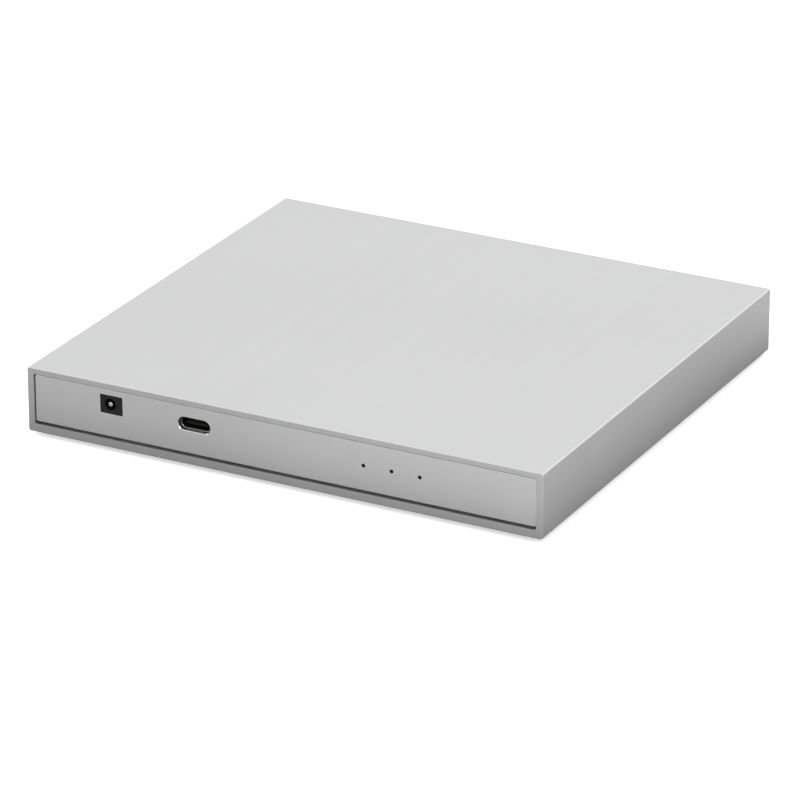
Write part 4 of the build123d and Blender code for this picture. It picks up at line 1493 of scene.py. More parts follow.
def make_jack(sizes):
    """The jack's moulded block with its bore, the leaf's pocket and a groove across the top."""
    low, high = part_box("dc_jack_housing")
    x, z = jack_axis()
    block = start_block("jack_block", low, high)
    bevel_edges(block, runs_along(1), sizes.moulded_edge, 2)
    bevel_edges(block, lies_at(1, low.y), 0.5 * sizes.moulded_edge, 1)
    groove = start_block("groove", (low.x - PAST, low.y + 2.4 * MM, high.z - 0.2 * MM),
                         (high.x + PAST, low.y + 3.0 * MM, high.z + PAST))
    bore = start_rod("bore", (x, low.y - PAST, z), (x, low.y + JACK_BORE_DEPTH, z), JACK_BORE, 48)
    pin_hole = start_rod("pin_hole", (x, low.y, z), (x, high.y - 2 * JACK_PIN, z), JACK_PIN, 24)
    leaf_low, leaf_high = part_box("dc_jack_spring")
    pocket = start_block("pocket", (leaf_low.x, leaf_low.y, BOARD_TOP - PAST), leaf_high)
    slot = start_block("slot", (x - JACK_PIN, high.y - 2 * JACK_PIN, BOARD_TOP - PAST),
                       (x + JACK_PIN, high.y + PAST, z + JACK_PIN))
    cut(block, groove, bore, pin_hole, pocket, slot)
    room = JACK_BORE + 0.1 * MM
    rim = within((x - room, low.y - MERGE, z - room), (x + room, low.y + MERGE, z + room))
    bevel_edges(block, rim, 0.12 * MM, 2)
    smooth(block, 30)
    return coat(block, finish("black_moulding"))


def make_jack_pin():
    """The jack's centre pin with a domed tip, and its solder leg."""
    low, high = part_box("dc_jack_pin")
    x, z = jack_axis()
    length = high.y - low.y
    dome = [(1.0, -0.2), (0.97, -0.12), (0.9, -0.05), (0.8, -0.01), (0.7, 0.0)]
    profile = [(JACK_PIN, 0)] + [(JACK_PIN * wide, length + back * MM) for wide, back in dome]
    pin = move(start_turned("centre_pin", profile, 32), TO_FRONT, (x, high.y, z))
    leg = start_block("leg", (low.x, high.y - JACK_PIN, low.z), (high.x, high.y, z))
    bevel_edges(leg, lies_at(2, low.z), 0.12 * MM, 1)
    weld(pin, leg)
    smooth(pin, 40)
    return coat(pin, finish("nickelled_steel"))


def make_jack_leaf():
    """The leaf beside the bore, bowed towards a plug, with its solder leg."""
    low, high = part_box("dc_jack_spring")
    z = jack_axis()[1]
    tall = high.z - z
    leaf = start_block("leaf", (low.x, low.y, z - tall), high)
    length = high.y - low.y
    shares = [n / 8 for n in range(1, 8)]
    slice_at(leaf, 1, *[low.y + share * length for share in shares])
    for share in shares:
        spot = low.y + share * length
        edit(leaf)
        choose_loop(leaf, 1, spot)
        bow = -0.22 * MM * math.sin(math.pi * share)
        bpy.ops.transform.translate(value=(bow, 0, 0))
        done()
    leg = start_block("leg", (low.x, high.y - 1.8 * MM, low.z), (high.x, high.y, z))
    weld(leaf, leg)
    smooth(leaf, 30)
    return coat(leaf, finish("nickelled_steel"))


def choose_loop(piece, axis, spot):
    """Selects the corners of a piece that lie in one plane across an axis."""
    bpy.context.tool_settings.mesh_select_mode = (True, False, False)
    bpy.ops.mesh.select_all(action="DESELECT")
    mesh = bmesh.from_edit_mesh(piece.data)
    for corner in mesh.verts:
        corner.select_set(near(corner.co[axis], spot))
    bmesh.update_edit_mesh(piece.data)


class ENCLOSURE_OT_power_jack(bpy.types.Operator):
    """Models the power jack, its centre pin and its leaf"""

    bl_idname = "enclosure.power_jack"
    bl_label = "Power jack"

    def execute(self, context):
        place(make_jack(context.scene.enclosure_sizes), "black_moulding", "dc_jack_housing")
        place(make_jack_pin(), "plain_screw_steel", "dc_jack_pin")
        place(make_jack_leaf(), "plain_screw_steel", "dc_jack_spring")
        return {"FINISHED"}


# Lamps

LAMP_NODES = ("power_led", "drive_led_left", "drive_led_right")


def make_lamp():
    """A side-facing lamp: white body, domed lens towards the pinhole and a tinned cap at each end."""
    low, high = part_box(LAMP_NODES[0])
    cap = 0.22 * MM
    split = low.y + 0.45 * MM
    body = start_block("lamp_back", (low.x + cap, split, low.z), (high.x - cap, high.y, high.z))
    soften(body, 0.05 * MM, 1)
    coat(body, finish("lamp_body"))
    lens_piece = start_block("lamp_front", (low.x + cap, low.y, low.z + 0.06 * MM),
                             (high.x - cap, split, high.z - 0.06 * MM))
    front_corners = lambda a, b: near(a.y, low.y) and near(b.y, low.y)
    bevel_edges(lens_piece, front_corners, 0.24 * MM, 4)
    coat(lens_piece, finish("lamp_lens"))
    ends = []
    for x in (low.x, high.x - cap):
        end = start_block("lamp_end", (x, split, low.z), (x + cap, high.y, high.z - 0.1 * MM))
        soften(end, 0.04 * MM, 1)
        ends.append(coat(end, finish("solder")))
    lamp = join("status_lamp", [body, lens_piece, *ends])
    smooth(lamp, 40)
    return lamp


class ENCLOSURE_OT_lamps(bpy.types.Operator):
    """Models the three lamps behind the pinholes"""

    bl_idname = "enclosure.lamps"
    bl_label = "Lamps"

    def execute(self, context):
        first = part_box(LAMP_NODES[0])[0]
        lamp = make_lamp()
        for node in LAMP_NODES:
            twin = copy_of(lamp, "side_" + node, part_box(node)[0] - first)
            place(twin, "lamp_plastic", node)
        bpy.data.objects.remove(lamp)
        return {"FINISHED"}


# Drive sockets

NOSE_HALF_WIDTH = 17.7 * MM
NOSE_HALF_HEIGHT = 2.5 * MM
BASE_DEPTH = 3.4 * MM
SLOT_DEPTH = 5.0 * MM
SLOT_HALF_HEIGHT = 0.75 * MM
KEY_WIDTH = 1.3 * MM
KEY_HEIGHT = 1.3 * MM
SIGNAL_WIDTH = 10.7 * MM
POWER_WIDTH = 20.9 * MM
DIVIDER = 1.7 * MM
BLADE_PITCH = 1.27 * MM
BLADE_WIDTH = 0.6 * MM
BLADE_COUNTS = (7, 15)


def socket_slots(middle):
    """Where each slot of a drive socket starts, and how wide it is."""
    start = middle - (SIGNAL_WIDTH + DIVIDER + POWER_WIDTH) / 2
    return (start, SIGNAL_WIDTH), (start + SIGNAL_WIDTH + DIVIDER, POWER_WIDTH)


def make_receptacle(sizes):
    """A drive socket: a nose with two keyed slots on a wider base with grooves and end lugs."""
    low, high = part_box("sata_receptacle_left")
    middle, z = (low.x + high.x) / 2, (low.z + high.z) / 2
    base = start_block("base", low, (high.x, low.y + BASE_DEPTH, high.z))
    bevel_edges(base, lambda a, b: True, sizes.moulded_edge, 2)
    nose = start_block("nose", (middle - NOSE_HALF_WIDTH, low.y + 0.2 * MM, z - NOSE_HALF_HEIGHT),
                       (middle + NOSE_HALF_WIDTH, high.y, z + NOSE_HALF_HEIGHT))
    bevel_edges(nose, runs_along(1), sizes.moulded_edge, 2)
    bevel_edges(nose, lies_at(1, high.y), 0.3 * MM, 3)
    weld(base, nose)
    for (start, width), key_at_start in zip(socket_slots(middle), (True, False)):
        slot = start_block("slot", (start, high.y - SLOT_DEPTH, z - SLOT_HALF_HEIGHT),
                           (start + width, high.y + PAST, z + SLOT_HALF_HEIGHT))
        key_x = start if key_at_start else start + width - KEY_WIDTH
        key = start_block("key", (key_x, high.y - SLOT_DEPTH, z - SLOT_HALF_HEIGHT - KEY_HEIGHT),
                          (key_x + KEY_WIDTH, high.y + PAST, z))
        cut(base, slot, key)
        room = 0.02 * MM
        rim = within((start - room, high.y - MERGE, z - SLOT_HALF_HEIGHT - KEY_HEIGHT - room),
                     (start + width + room, high.y + MERGE, z + SLOT_HALF_HEIGHT + room))
        bevel_edges(base, rim, 0.18 * MM, 1)
    notch = start_block("notch", (low.x - PAST, low.y - PAST, BOARD_LOW.z),
                        (high.x + PAST, BOARD_HIGH.y, BOARD_TOP))
    cut(base, notch)
    groove = start_block("groove", (low.x + 3.0 * MM, low.y + 0.9 * MM, high.z - 0.35 * MM),
                         (low.x + 4.6 * MM, low.y + BASE_DEPTH - 0.7 * MM, high.z + PAST))
    cut(base, repeat(groove, 11, (3.04 * MM, 0, 0)))
    smooth(base, 30)
    return coat(base, finish("black_moulding"))


def make_blades():
    """The blades of one drive socket and the tails that they are soldered by."""
    low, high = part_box("sata_contacts_left")
    socket_low, socket_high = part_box("sata_receptacle_left")
    rows = []
    slots = socket_slots((socket_low.x + socket_high.x) / 2)
    for (start, width), count in zip(slots, BLADE_COUNTS):
        first = start + width / 2 - BLADE_PITCH * (count - 1) / 2 - BLADE_WIDTH / 2
        blade = start_block("blade", (first, low.y, low.z), (first + BLADE_WIDTH, high.y, high.z))
        bevel_edges(blade, lambda a, b: near(a.y, high.y) and near(b.y, high.y), 0.08 * MM, 2)
        rows.append(coat(repeat(blade, count, (BLADE_PITCH, 0, 0)), finish("contact_gold")))
        tail = make_tail(first + 0.1 * MM, socket_low.y)
        rows.append(repeat(tail, count, (BLADE_PITCH, 0, 0)))
    blades = join("socket_blades", rows)
    smooth(blades, 35)
    return blades


def make_tail(x, y):
    """A bent tail from the back of a drive socket down to its pad on the board."""
    wide = BLADE_WIDTH - 0.2 * MM
    thick = 0.16 * MM
    tail = start_block("tail", (x, y - 0.3 * MM, BOARD_TOP + 0.45 * MM),
                       (x + wide, y + 0.1 * MM, BOARD_TOP + 0.45 * MM + thick))
    pull_faces(tail, facing(1, -1), (0, -0.3 * MM, -0.4 * MM), (0, -0.55 * MM, 0))
    coat(tail, finish("solder"))
    pad = make_pad("pad", x + wide / 2, y - 0.95 * MM, 0.7, 1.0, 0.08)
    return join("tail", [tail, coat(pad, finish("solder"))])


class ENCLOSURE_OT_drive_sockets(bpy.types.Operator):
    """Models one drive socket with its blades and copies it to the other bay"""

    bl_idname = "enclosure.drive_sockets"
    bl_label = "Drive sockets"

    def execute(self, context):
        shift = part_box("sata_receptacle_right")[0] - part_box("sata_receptacle_left")[0]
        left = make_receptacle(context.scene.enclosure_sizes)
        left.name = left.data.name = "drive_socket_body_left"
        right = copy_of(left, "drive_socket_body_right", shift)
        place(left, "black_moulding", "sata_receptacle_left")
        place(right, "black_moulding", "sata_receptacle_right")
        left = make_blades()
        left.name = left.data.name = "drive_socket_blades_left"
        right = copy_of(left, "drive_socket_blades_right", shift)
        place(left, "contact_gold", "sata_contacts_left")
        place(right, "contact_gold", "sata_contacts_right")
        return {"FINISHED"}


# Mode switch

SLIDER_NODES = ("mode_slider_1", "mode_slider_2")
SLIDER_TRAVEL = 1.2 * MM
SWITCH_PITCH = 2.54


def make_switch(sizes):
    """The two-way switch's body, with a well under each slider and a terminal at each corner."""
    low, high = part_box("mode_switch_housing")
    body = start_block("switch_body", low, high)
    soften(body, sizes.moulded_edge, 2)
    for node in SLIDER_NODES:
        slider_low, slider_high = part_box(node)
        room = 0.08 * MM
        well = start_block(
            "well", (slider_low.x - room, slider_low.y - room, slider_low.z - room),
            (slider_high.x + room, slider_high.y + SLIDER_TRAVEL + room, high.z + PAST),
        )
        cut(body, well)
    coat(body, finish("red_moulding"))
    parts = [body]
    middle = (low.x + high.x) / 2
    for side, y in ((-1, low.y), (1, high.y)):
        leg = start_block("leg", (middle - 1.5 * MM, y - 0.05 * MM, BOARD_TOP + 0.1 * MM),
                          (middle - 1.04 * MM, y + 0.05 * MM, BOARD_TOP + 0.75 * MM))
        leg = repeat(leg, 2, (SWITCH_PITCH * MM, 0, 0))
        pull_faces(leg, facing(2, -1), (0, side * 0.25 * MM, -0.06 * MM))
        parts.append(coat(leg, finish("solder")))
    piece = join("two_way_switch", parts)
    return smooth(piece, 35)


def make_slider(sizes):
    """A slider with softened edges and three grooves across its top for a fingernail."""
    low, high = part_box(SLIDER_NODES[0])
    slider = start_block("slider", low, high)
    soften(slider, 0.6 * sizes.moulded_edge, 2)
    step = (high.y - low.y) / 4
    groove = start_block("groove", (low.x - PAST, low.y + 0.82 * step, high.z - 0.14 * MM),
                         (high.x + PAST, low.y + 1.18 * step, high.z + PAST))
    cut(slider, repeat(groove, 3, (0, step, 0)))
    smooth(slider, 30)
    return coat(slider, finish("white_moulding"))


class ENCLOSURE_OT_mode_switch(bpy.types.Operator):
    """Models the mode switch and its two sliders"""

    bl_idname = "enclosure.mode_switch"
    bl_label = "Mode switch"

    def execute(self, context):
        sizes = context.scene.enclosure_sizes
        place(make_switch(sizes), "switch_red", "mode_switch_housing")
        slider = make_slider(sizes)
        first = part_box(SLIDER_NODES[0])[0]
        for number, node in enumerate(SLIDER_NODES, 1):
            twin = copy_of(slider, f"ridged_slider_{number}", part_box(node)[0] - first)
            place(twin, "slider_white", node)
        bpy.data.objects.remove(slider)
        return {"FINISHED"}


# Chips and small parts

LEAD_PITCH = 1.27
LEAD_WIDTH = 0.42 * MM
REGULATOR_PITCH = 0.95
SMALL_ROWS = (
    ("chip_capacitors", "tiny_capacitors", False, (-12.0, -9.5, -7.0, -4.5), "ceramic_tan"),
    ("chip_resistors", "tiny_resistors", True, (4.0, 6.5, 9.0), "chip_black"),
)


def start_package(name, node, bevel, seam=0.0):
    """A moulded package: bevelled top, and sides that draw in above and below the seam."""
    low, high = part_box(node)
    body = start_block(name, low, high)
    if seam:
        height = low.z + seam * (high.z - low.z)
        slice_at(body, 2, height)
        resize_face(body, facing(2, 1), 0.93)
        resize_face(body, facing(2, -1), 0.95)
    bevel_edges(body, lies_at(2, high.z), bevel, 2)
    return body


def mark_first_pin(body, node, radius):
    """A shallow round dimple at the corner of the first pin."""
    low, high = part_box(node)
    inset = 3.0 * radius
    spot = Vector((low.x + inset, low.y + inset, high.z))
    deep = Vector((0, 0, 0.08 * MM))
    return cut(body, start_rod("dimple", spot - deep, spot + deep, radius, 20))


def make_bridge_chip():
    """The controller: a flat package with a row of pads along each side."""
    low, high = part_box("bridge_chip")
    body = start_package("controller", "bridge_chip", 0.08 * MM)
    mark_first_pin(body, "bridge_chip", 0.3 * MM)
    coat(body, finish("chip_resin"))
    pitch, count, wide, out = 0.5 * MM, 16, 0.24 * MM, 0.12 * MM
    middle = (low + high) / 2
    start = -pitch * (count - 1) / 2
    rows = [body]
    for side in (-1, 1):
        edge = middle.y + side * (high.y - low.y) / 2
        pad = start_block("pad", (middle.x + start - wide / 2, edge - out, low.z),
                          (middle.x + start + wide / 2, edge + out, low.z + 0.2 * MM))
        rows.append(coat(repeat(pad, count, (pitch, 0, 0)), finish("solder")))
        edge = middle.x + side * (high.x - low.x) / 2
        pad = start_block("pad", (edge - out, middle.y + start - wide / 2, low.z),
                          (edge + out, middle.y + start + wide / 2, low.z + 0.2 * MM))
        rows.append(coat(repeat(pad, count, (0, pitch, 0)), finish("solder")))
    return join("controller_chip", rows)


def make_firmware_chip():
    """The memory: a moulded body with four gull-wing leads on each long side."""
    low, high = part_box("firmware_chip")
    reach = 1.0 * MM
    body_low = Vector((low.x, low.y + reach, low.z + 0.1 * MM))
    body_high = Vector((high.x, high.y - reach, high.z))
    body = start_block("memory_body", body_low, body_high)
    seam = (body_low.z + body_high.z) / 2
    slice_at(body, 2, seam)
    resize_face(body, facing(2, 1), 0.92)
    resize_face(body, facing(2, -1), 0.94)
    bevel_edges(body, lies_at(2, high.z), 0.08 * MM, 2)
    spot = Vector((body_low.x + 0.9 * MM, body_low.y + 0.9 * MM, high.z))
    deep = Vector((0, 0, 0.08 * MM))
    cut(body, start_rod("dimple", spot - deep, spot + deep, 0.28 * MM, 20))
    parts = [coat(body, finish("chip_resin"))]
    thick = 0.15 * MM
    first = (low.x + high.x) / 2 - 1.5 * LEAD_PITCH * MM
    for side, edge in ((-1, body_low.y), (1, body_high.y)):
        inner, outer = edge - side * 0.1 * MM, edge + side * 0.28 * MM
        lead = start_block("lead", (first - LEAD_WIDTH / 2, min(inner, outer), seam - thick / 2),
                           (first + LEAD_WIDTH / 2, max(inner, outer), seam + thick / 2))
        drop = seam - low.z - 0.6 * thick
        pull_faces(lead, facing(1, side), (0, side * 0.22 * MM, -drop), (0, side * 0.45 * MM, 0))
        parts.append(coat(repeat(lead, 4, (LEAD_PITCH * MM, 0, 0)), finish("solder")))
    piece = join("memory_chip", parts)
    return smooth(piece, 30)


def make_crystal():
    """The clock: a ceramic tray with a bright lid let into it."""
    low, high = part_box("crystal")
    tray = start_block("ceramic_tray", low, (high.x, high.y, high.z - 0.25 * MM))
    bevel_edges(tray, runs_along(2), 0.15 * MM, 2)
    coat(tray, finish("fired_ceramic"))
    edge = Vector((0.22 * MM, 0.22 * MM, 0))
    lid = start_block("lid", Vector((low.x, low.y, high.z - 0.3 * MM)) + edge, high - edge)
    bevel_edges(lid, runs_along(2), 0.3 * MM, 4)
    bevel_edges(lid, lies_at(2, high.z), 0.08 * MM, 2)
    coat(lid, finish("drawn_steel"))
    piece = join("clock_crystal", [tray, lid])
    return smooth(piece, 35)


def make_regulator(name, node):
    """A small square regulator with three feet along two sides."""
    low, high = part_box(node)
    body = start_package(name + "_body", node, 0.07 * MM, 0.45)
    mark_first_pin(body, node, 0.16 * MM)
    coat(body, finish("chip_resin"))
    parts = [body]
    middle = (low.x + high.x) / 2
    for y in (low.y, high.y):
        foot = start_block("foot", (middle - 1.13 * MM, y - 0.12 * MM, low.z),
                           (middle - 0.77 * MM, y + 0.12 * MM, low.z + 0.22 * MM))
        parts.append(coat(repeat(foot, 3, (REGULATOR_PITCH * MM, 0, 0)), finish("solder")))
    piece = join(name, parts)
    return smooth(piece, 30)


def make_coil(name, node):
    """A pressed coil with clipped corners, a raised rim and a terminal at each side."""
    low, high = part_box(node)
    body = start_block(name + "_body", low, high)
    bevel_edges(body, runs_along(2), 0.8 * MM, 2)
    bevel_edges(body, lies_at(2, high.z), 0.3 * MM, 3)
    sink_face(body, lambda middle, normal: normal.z > 0.9 and near(middle.z, high.z),
              0.4 * MM, 0.05 * MM)
    coat(body, finish("pressed_powder"))
    parts = [body]
    y = (low.y + high.y) / 2
    for x in (low.x, high.x):
        end = start_block("terminal", (x - 0.08 * MM, y - 1.1 * MM, low.z),
                          (x + 0.08 * MM, y + 1.1 * MM, low.z + 1.3 * MM))
        bevel_edges(end, lies_at(2, low.z + 1.3 * MM), 0.06 * MM, 1)
        parts.append(coat(end, finish("solder")))
    piece = join(name, parts)
    return smooth(piece, 35)


def make_capacitor(name, node):
    """A moulded capacitor with a seam, a polarity stripe and a terminal at each end."""
    low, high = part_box(node)
    body = start_package(name + "_body", node, 0.15 * MM, 0.42)
    stripe = low.y + 1.5 * MM
    slice_at(body, 1, stripe)
    coat(body, finish("ochre_moulding"), finish("polarity_stripe"))
    coat_faces(body, 1, lambda middle, normal: middle.y < stripe and normal.z > 0.9)
    parts = [body]
    middle = (low.x + high.x) / 2
    for y in (low.y, high.y):
        end = start_block("terminal", (middle - 1.15 * MM, y - 0.09 * MM, low.z),
                          (middle + 1.15 * MM, y + 0.09 * MM, low.z + 1.25 * MM))
        bevel_edges(end, lies_at(2, low.z + 1.25 * MM), 0.06 * MM, 1)
        parts.append(coat(end, finish("solder")))
    piece = join(name, parts)
    return smooth(piece, 30)


def make_small_part(node, name, cover):
    """One tiny part of a row: a ceramic body, glazed on top or not, between two tinned caps."""
    low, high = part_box(node)
    wide = 0.8 * MM
    cap = 0.36 * MM
    high = Vector((low.x + wide, high.y, high.z))
    skin = 0.03 * MM
    body = start_block("body", (low.x + skin, low.y + cap, low.z + skin),
                       (high.x - skin, high.y - cap, high.z - skin))
    if cover:
        slice_at(body, 2, high.z - 0.16 * MM)
        coat(body, finish("white_ceramic"), finish("resistor_glaze"))
        coat_faces(body, 1, lambda middle, normal: middle.z > high.z - 0.16 * MM)
    else:
        coat(body, finish("fired_ceramic"))
    parts = [body]
    for y in (low.y, high.y - cap):
        end = start_block("cap", (low.x, y, low.z), (high.x, y + cap, high.z))
        soften(end, 0.06 * MM, 2)
        parts.append(coat(end, finish("solder")))
    piece = join(name, parts)
    return smooth(piece, 35)


def make_small_row(node, name, cover, offsets):
    """The same small part at each place of its rows beside both drive sockets."""
    part = make_small_part(node, name + "_model", cover)
    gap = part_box("sata_receptacle_right")[0].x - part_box("sata_receptacle_left")[0].x
    spots = [(gap * side + (offset - offsets[0]) * MM, 0, 0) for side in (0, 1) for offset in offsets]
    return copies_at(part, name, spots)


class ENCLOSURE_OT_chips(bpy.types.Operator):
    """Models the controller, the memory, the crystal and the regulators"""

    bl_idname = "enclosure.chips"
    bl_label = "Chips"

    def execute(self, context):
        place(make_bridge_chip(), "chip_black", "bridge_chip")
        place(make_firmware_chip(), "chip_black", "firmware_chip")
        place(make_crystal(), "crystal_steel", "crystal")
        for side in ("left", "right"):
            node = "regulator_" + side
            place(make_regulator("moulded_" + node, node), "chip_black", node)
        return {"FINISHED"}


class ENCLOSURE_OT_power_parts(bpy.types.Operator):
    """Models the coils and the large capacitors"""

    bl_idname = "enclosure.power_parts"
    bl_label = "Coils and capacitors"

    def execute(self, context):
        for side in ("left", "right"):
            node = "power_coil_" + side
            place(make_coil("pressed_coil_" + side, node), "coil_grey", node)
            node = "power_capacitor_" + side
            place(make_capacitor("moulded_capacitor_" + side, node), "capacitor_ochre", node)
        return {"FINISHED"}


class ENCLOSURE_OT_small_parts(bpy.types.Operator):
    """Models the rows of small capacitors and resistors"""

    bl_idname = "enclosure.small_parts"
    bl_label = "Small parts"

    def execute(self, context):
        for node, name, cover, offsets, slot in SMALL_ROWS:
            place(make_small_row(node, name, cover, offsets), slot, node)
        return {"FINISHED"}


# Stage

WORLD_STRENGTH = 0.83
BACKDROP_STRENGTH = 1.0
SENSOR_WIDTH = 36.0
SHIFT_LEFT = 0.010
SHIFT_DOWN = 0.019
FLOOR_RADIUS = 9.0
FLOOR_GLOW = 0.5
FLOOR_SEEN = (0.9, 0.9, 0.9)
# FLOOR_LIT, FLOOR_LEAN and FLOOR_FRONT paint the floor's colour that lights the scene: painted shadow
# close to the object, painted light to the rear right and far in front.
FLOOR_LIT = (0.27, 0.48)
FLOOR_SHADE_REACH = 0.03
FLOOR_LEAN = (0.76, 1.3)
FLOOR_LEAN_REACH = (-0.2, 0.05)
FLOOR_FRONT = 1.5
FLOOR_FRONT_REACH = (-0.15, -0.03)
LAMPS = {
    "overhead_lamp": ((0.0, 0.0, 1.6), (0, 0, 0), (2.4, 2.4), 2.9),
    "overhead_rear_lamp": ((0.0, 1.3, 1.3), (0, 0, 0), (2.4, 1.6), 3.2),
    "front_lamp": ((0.0, -2.0, 0.55), (0, 0, 0), (3.0, 1.0), 11.0),
    "right_lamp": ((2.0, 0.0, 0.8), (0, 0, 0), (2.6, 1.4), 4.5),
    "left_lamp": ((-2.0, 0.0, 0.8), (0, 0, 0), (2.6, 1.4), 12.9),
    "rear_right_lamp": ((0.94, 1.96, 1.02), (0, 0, 0), (1.2, 0.8), 2.2),
}
GLINT_LAMP = ((0.64, -0.83, 0.75), (-0.02, -0.068, 0.01), (0.2, 0.2), 3.0)
GLINT_PIECES = ("socket_panel", "drawn_shell")


def soft_lamp(name, place, target, size, power):
    """A soft lamp that isn't seen itself."""
    deselect()
    bpy.ops.object.light_add(type="AREA", location=place)
    lamp = bpy.context.object
    lamp.name = lamp.data.name = name
    lamp.data.shape = "RECTANGLE"
    lamp.data.size, lamp.data.size_y = size
    lamp.data.energy = power
    lamp.rotation_euler = (Vector(target) - Vector(place)).to_track_quat("-Z", "Y").to_euler()
    lamp.visible_camera = False
    return lamp


def pale_floor():
    """A pale floor, a little brighter to the eye than the light that it throws back."""
    material = bpy.data.materials.new("pale_floor")
    material.use_nodes = True
    tree = material.node_tree
    tree.nodes.clear()
    out = tree.nodes.new("ShaderNodeOutputMaterial")
    seen = tree.nodes.new("ShaderNodeBsdfDiffuse")
    seen.inputs["Color"].default_value = (*FLOOR_SEEN, 1.0)
    glow = tree.nodes.new("ShaderNodeEmission")
    glow.inputs["Strength"].default_value = FLOOR_GLOW
    both = tree.nodes.new("ShaderNodeAddShader")
    link(tree, seen.outputs[0], both.inputs[0])
    link(tree, glow.outputs[0], both.inputs[1])
    lit = tree.nodes.new("ShaderNodeBsdfDiffuse")
    link(tree, floor_shade(tree), lit.inputs["Color"])
    mix_for_camera(tree, lit.outputs[0], both.outputs[0], out.inputs["Surface"])
    return material


def floor_shade(tree):
    """How much light the floor throws back: a painted shadow close to the object, and painted light to
    the rear right and far in front.
    """
    where = tree.nodes.new("ShaderNodeTexCoord").outputs["Object"]
    beyond = vector_maths(tree, "SUBTRACT", vector_maths(tree, "ABSOLUTE", where), SLEEVE_HIGH)
    split = tree.nodes.new("ShaderNodeSeparateXYZ")
    link(tree, beyond, split.inputs[0])
    distance = maths(tree, "MAXIMUM", split.outputs[0], split.outputs[1])
    # Painted shadow: the floor is darker close to the object.
    painted_floor_shadow = spread(tree, distance, 0.0, FLOOR_SHADE_REACH, *FLOOR_LIT, soft=True)
    place = tree.nodes.new("ShaderNodeSeparateXYZ")
    link(tree, where, place.inputs[0])
    across = maths(tree, "ADD", place.outputs[0], place.outputs[1])
    # Painted light: the floor is lighter to the rear right, and lighter still far in front.
    painted_floor_light = spread(tree, across, *FLOOR_LEAN_REACH, *FLOOR_LEAN)
    front = spread(tree, place.outputs[1], *FLOOR_FRONT_REACH, FLOOR_FRONT, 1.0, soft=True)
    return maths(tree, "MULTIPLY", maths(tree, "MULTIPLY", painted_floor_shadow, painted_floor_light), front)


def mix_for_camera(tree, lighting, seen, target):
    """Shows one shader to the camera and lights the scene with another."""
    path = tree.nodes.new("ShaderNodeLightPath")
    mix = tree.nodes.new("ShaderNodeMixShader")
    link(tree, path.outputs["Is Camera Ray"], mix.inputs[0])
    link(tree, lighting, mix.inputs[1])
    link(tree, seen, mix.inputs[2])
    link(tree, mix.outputs[0], target)


def studio_world(scene):
    """A plain white surround, brighter to the eye than the light that it gives."""
    world = bpy.data.worlds.new("studio")
    scene.world = world
    world.use_nodes = True
    tree = world.node_tree
    lighting = tree.nodes["Background"]
    lighting.inputs["Color"].default_value = (1, 1, 1, 1)
    lighting.inputs["Strength"].default_value = WORLD_STRENGTH
    seen = tree.nodes.new("ShaderNodeBackground")
    seen.inputs["Color"].default_value = (1, 1, 1, 1)
    seen.inputs["Strength"].default_value = BACKDROP_STRENGTH
    out = tree.nodes["World Output"]
    mix_for_camera(tree, lighting.outputs[0], seen.outputs[0], out.inputs["Surface"])


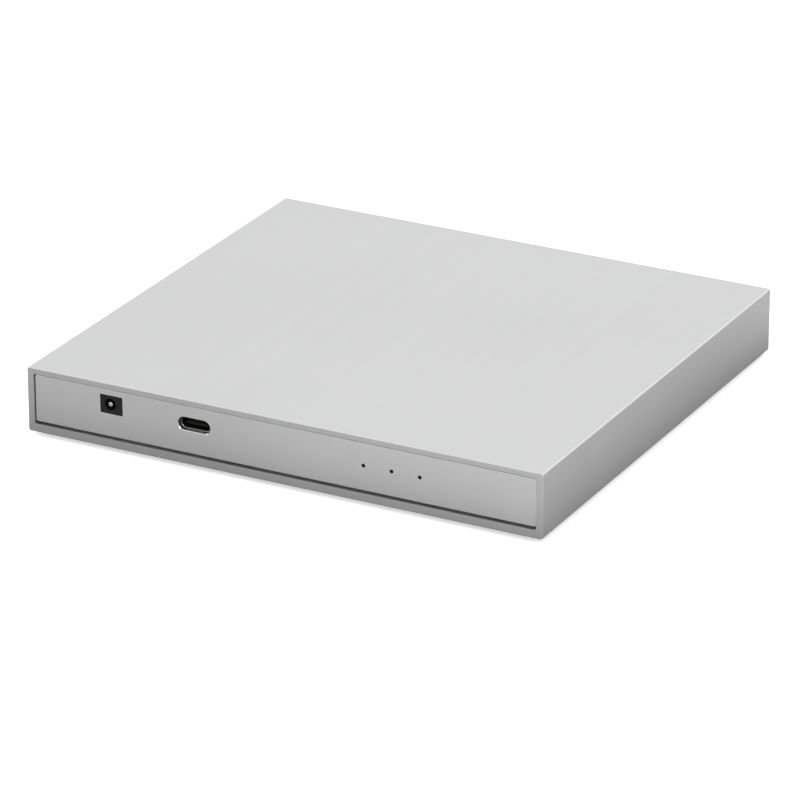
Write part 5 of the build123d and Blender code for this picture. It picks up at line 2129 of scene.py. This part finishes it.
class ENCLOSURE_OT_stage(bpy.types.Operator):
    """Sets up the pale floor, the soft lamps and the camera"""

    bl_idname = "enclosure.stage"
    bl_label = "Floor, light and camera"

    def execute(self, context):
        settings = context.scene.enclosure_stage
        deselect()
        bpy.ops.mesh.primitive_circle_add(vertices=96, radius=FLOOR_RADIUS, fill_type="NGON")
        ground = bpy.context.object
        ground.name = ground.data.name = "floor"
        ground.data.materials.append(pale_floor())
        studio_world(context.scene)
        for name, (spot, target, size, power) in LAMPS.items():
            soft_lamp(name, spot, target, size, power * settings.lamp_power)
        glint = soft_lamp("glint_lamp", *GLINT_LAMP)
        receivers = bpy.data.collections.new("glint_pieces")
        for name in GLINT_PIECES:
            receivers.objects.link(bpy.data.objects[name])
        glint.light_linking.receiver_collection = receivers
        context.scene.view_settings.view_transform = "Standard"
        self.add_camera(context.scene, settings)
        return {"FINISHED"}

    def add_camera(self, scene, settings):
        """Puts the camera where the photograph was taken from."""
        az, el = settings.azimuth, settings.elevation
        back = Vector((
            math.sin(az) * math.cos(el), -math.cos(az) * math.cos(el), math.sin(el),
        ))
        across = Vector((0, 0, 1)).cross(back).normalized()
        upwards = back.cross(across)
        middle = Vector((0, 0, SLEEVE_LOW.z))
        offset = -across * SHIFT_LEFT * SLEEVE_WIDTH - upwards * SHIFT_DOWN * SLEEVE_WIDTH
        data = bpy.data.cameras.new("camera")
        camera = bpy.data.objects.new("camera", data)
        scene.collection.objects.link(camera)
        camera.location = middle + back * settings.distance + offset
        camera.rotation_euler = (-back).to_track_quat("-Z", "Y").to_euler()
        data.sensor_width = SENSOR_WIDTH
        data.lens = settings.focal_length
        data.clip_start = 0.01
        data.clip_end = 60.0
        scene.camera = camera


class ENCLOSURE_PT_pieces(bpy.types.Panel):
    """Lists the steps that finish the enclosure"""

    bl_idname = "ENCLOSURE_PT_pieces"
    bl_label = "Drive enclosure"
    bl_space_type = "VIEW_3D"
    bl_region_type = "UI"
    bl_category = "Enclosure"

    def draw(self, context):
        for step in STEPS:
            self.layout.operator(step.bl_idname)


STEPS = (
    ENCLOSURE_OT_housing,
    ENCLOSURE_OT_feet,
    ENCLOSURE_OT_fasteners,
    ENCLOSURE_OT_tray,
    ENCLOSURE_OT_board,
    ENCLOSURE_OT_data_socket,
    ENCLOSURE_OT_power_jack,
    ENCLOSURE_OT_lamps,
    ENCLOSURE_OT_drive_sockets,
    ENCLOSURE_OT_mode_switch,
    ENCLOSURE_OT_chips,
    ENCLOSURE_OT_power_parts,
    ENCLOSURE_OT_small_parts,
    ENCLOSURE_OT_stage,
)
SETTINGS = {
    "enclosure_look": EnclosureLook,
    "enclosure_sizes": EnclosureSizes,
    "enclosure_stage": EnclosureStage,
}
CLASSES = (*SETTINGS.values(), *STEPS, ENCLOSURE_PT_pieces)


def register():
    """Adds the settings, the steps and the panel to Blender."""
    for one in CLASSES:
        bpy.utils.register_class(one)
    for name, group in SETTINGS.items():
        setattr(bpy.types.Scene, name, PointerProperty(type=group))


def unregister():
    """Takes them out again."""
    for name in SETTINGS:
        delattr(bpy.types.Scene, name)
    for one in reversed(CLASSES):
        bpy.utils.unregister_class(one)


def main():
    """Finishes the enclosure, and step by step."""
    register()
    for step in STEPS:
        group, name = step.bl_idname.split(".")
        getattr(getattr(bpy.ops, group), name)()


if __name__ == "__main__":
    main()
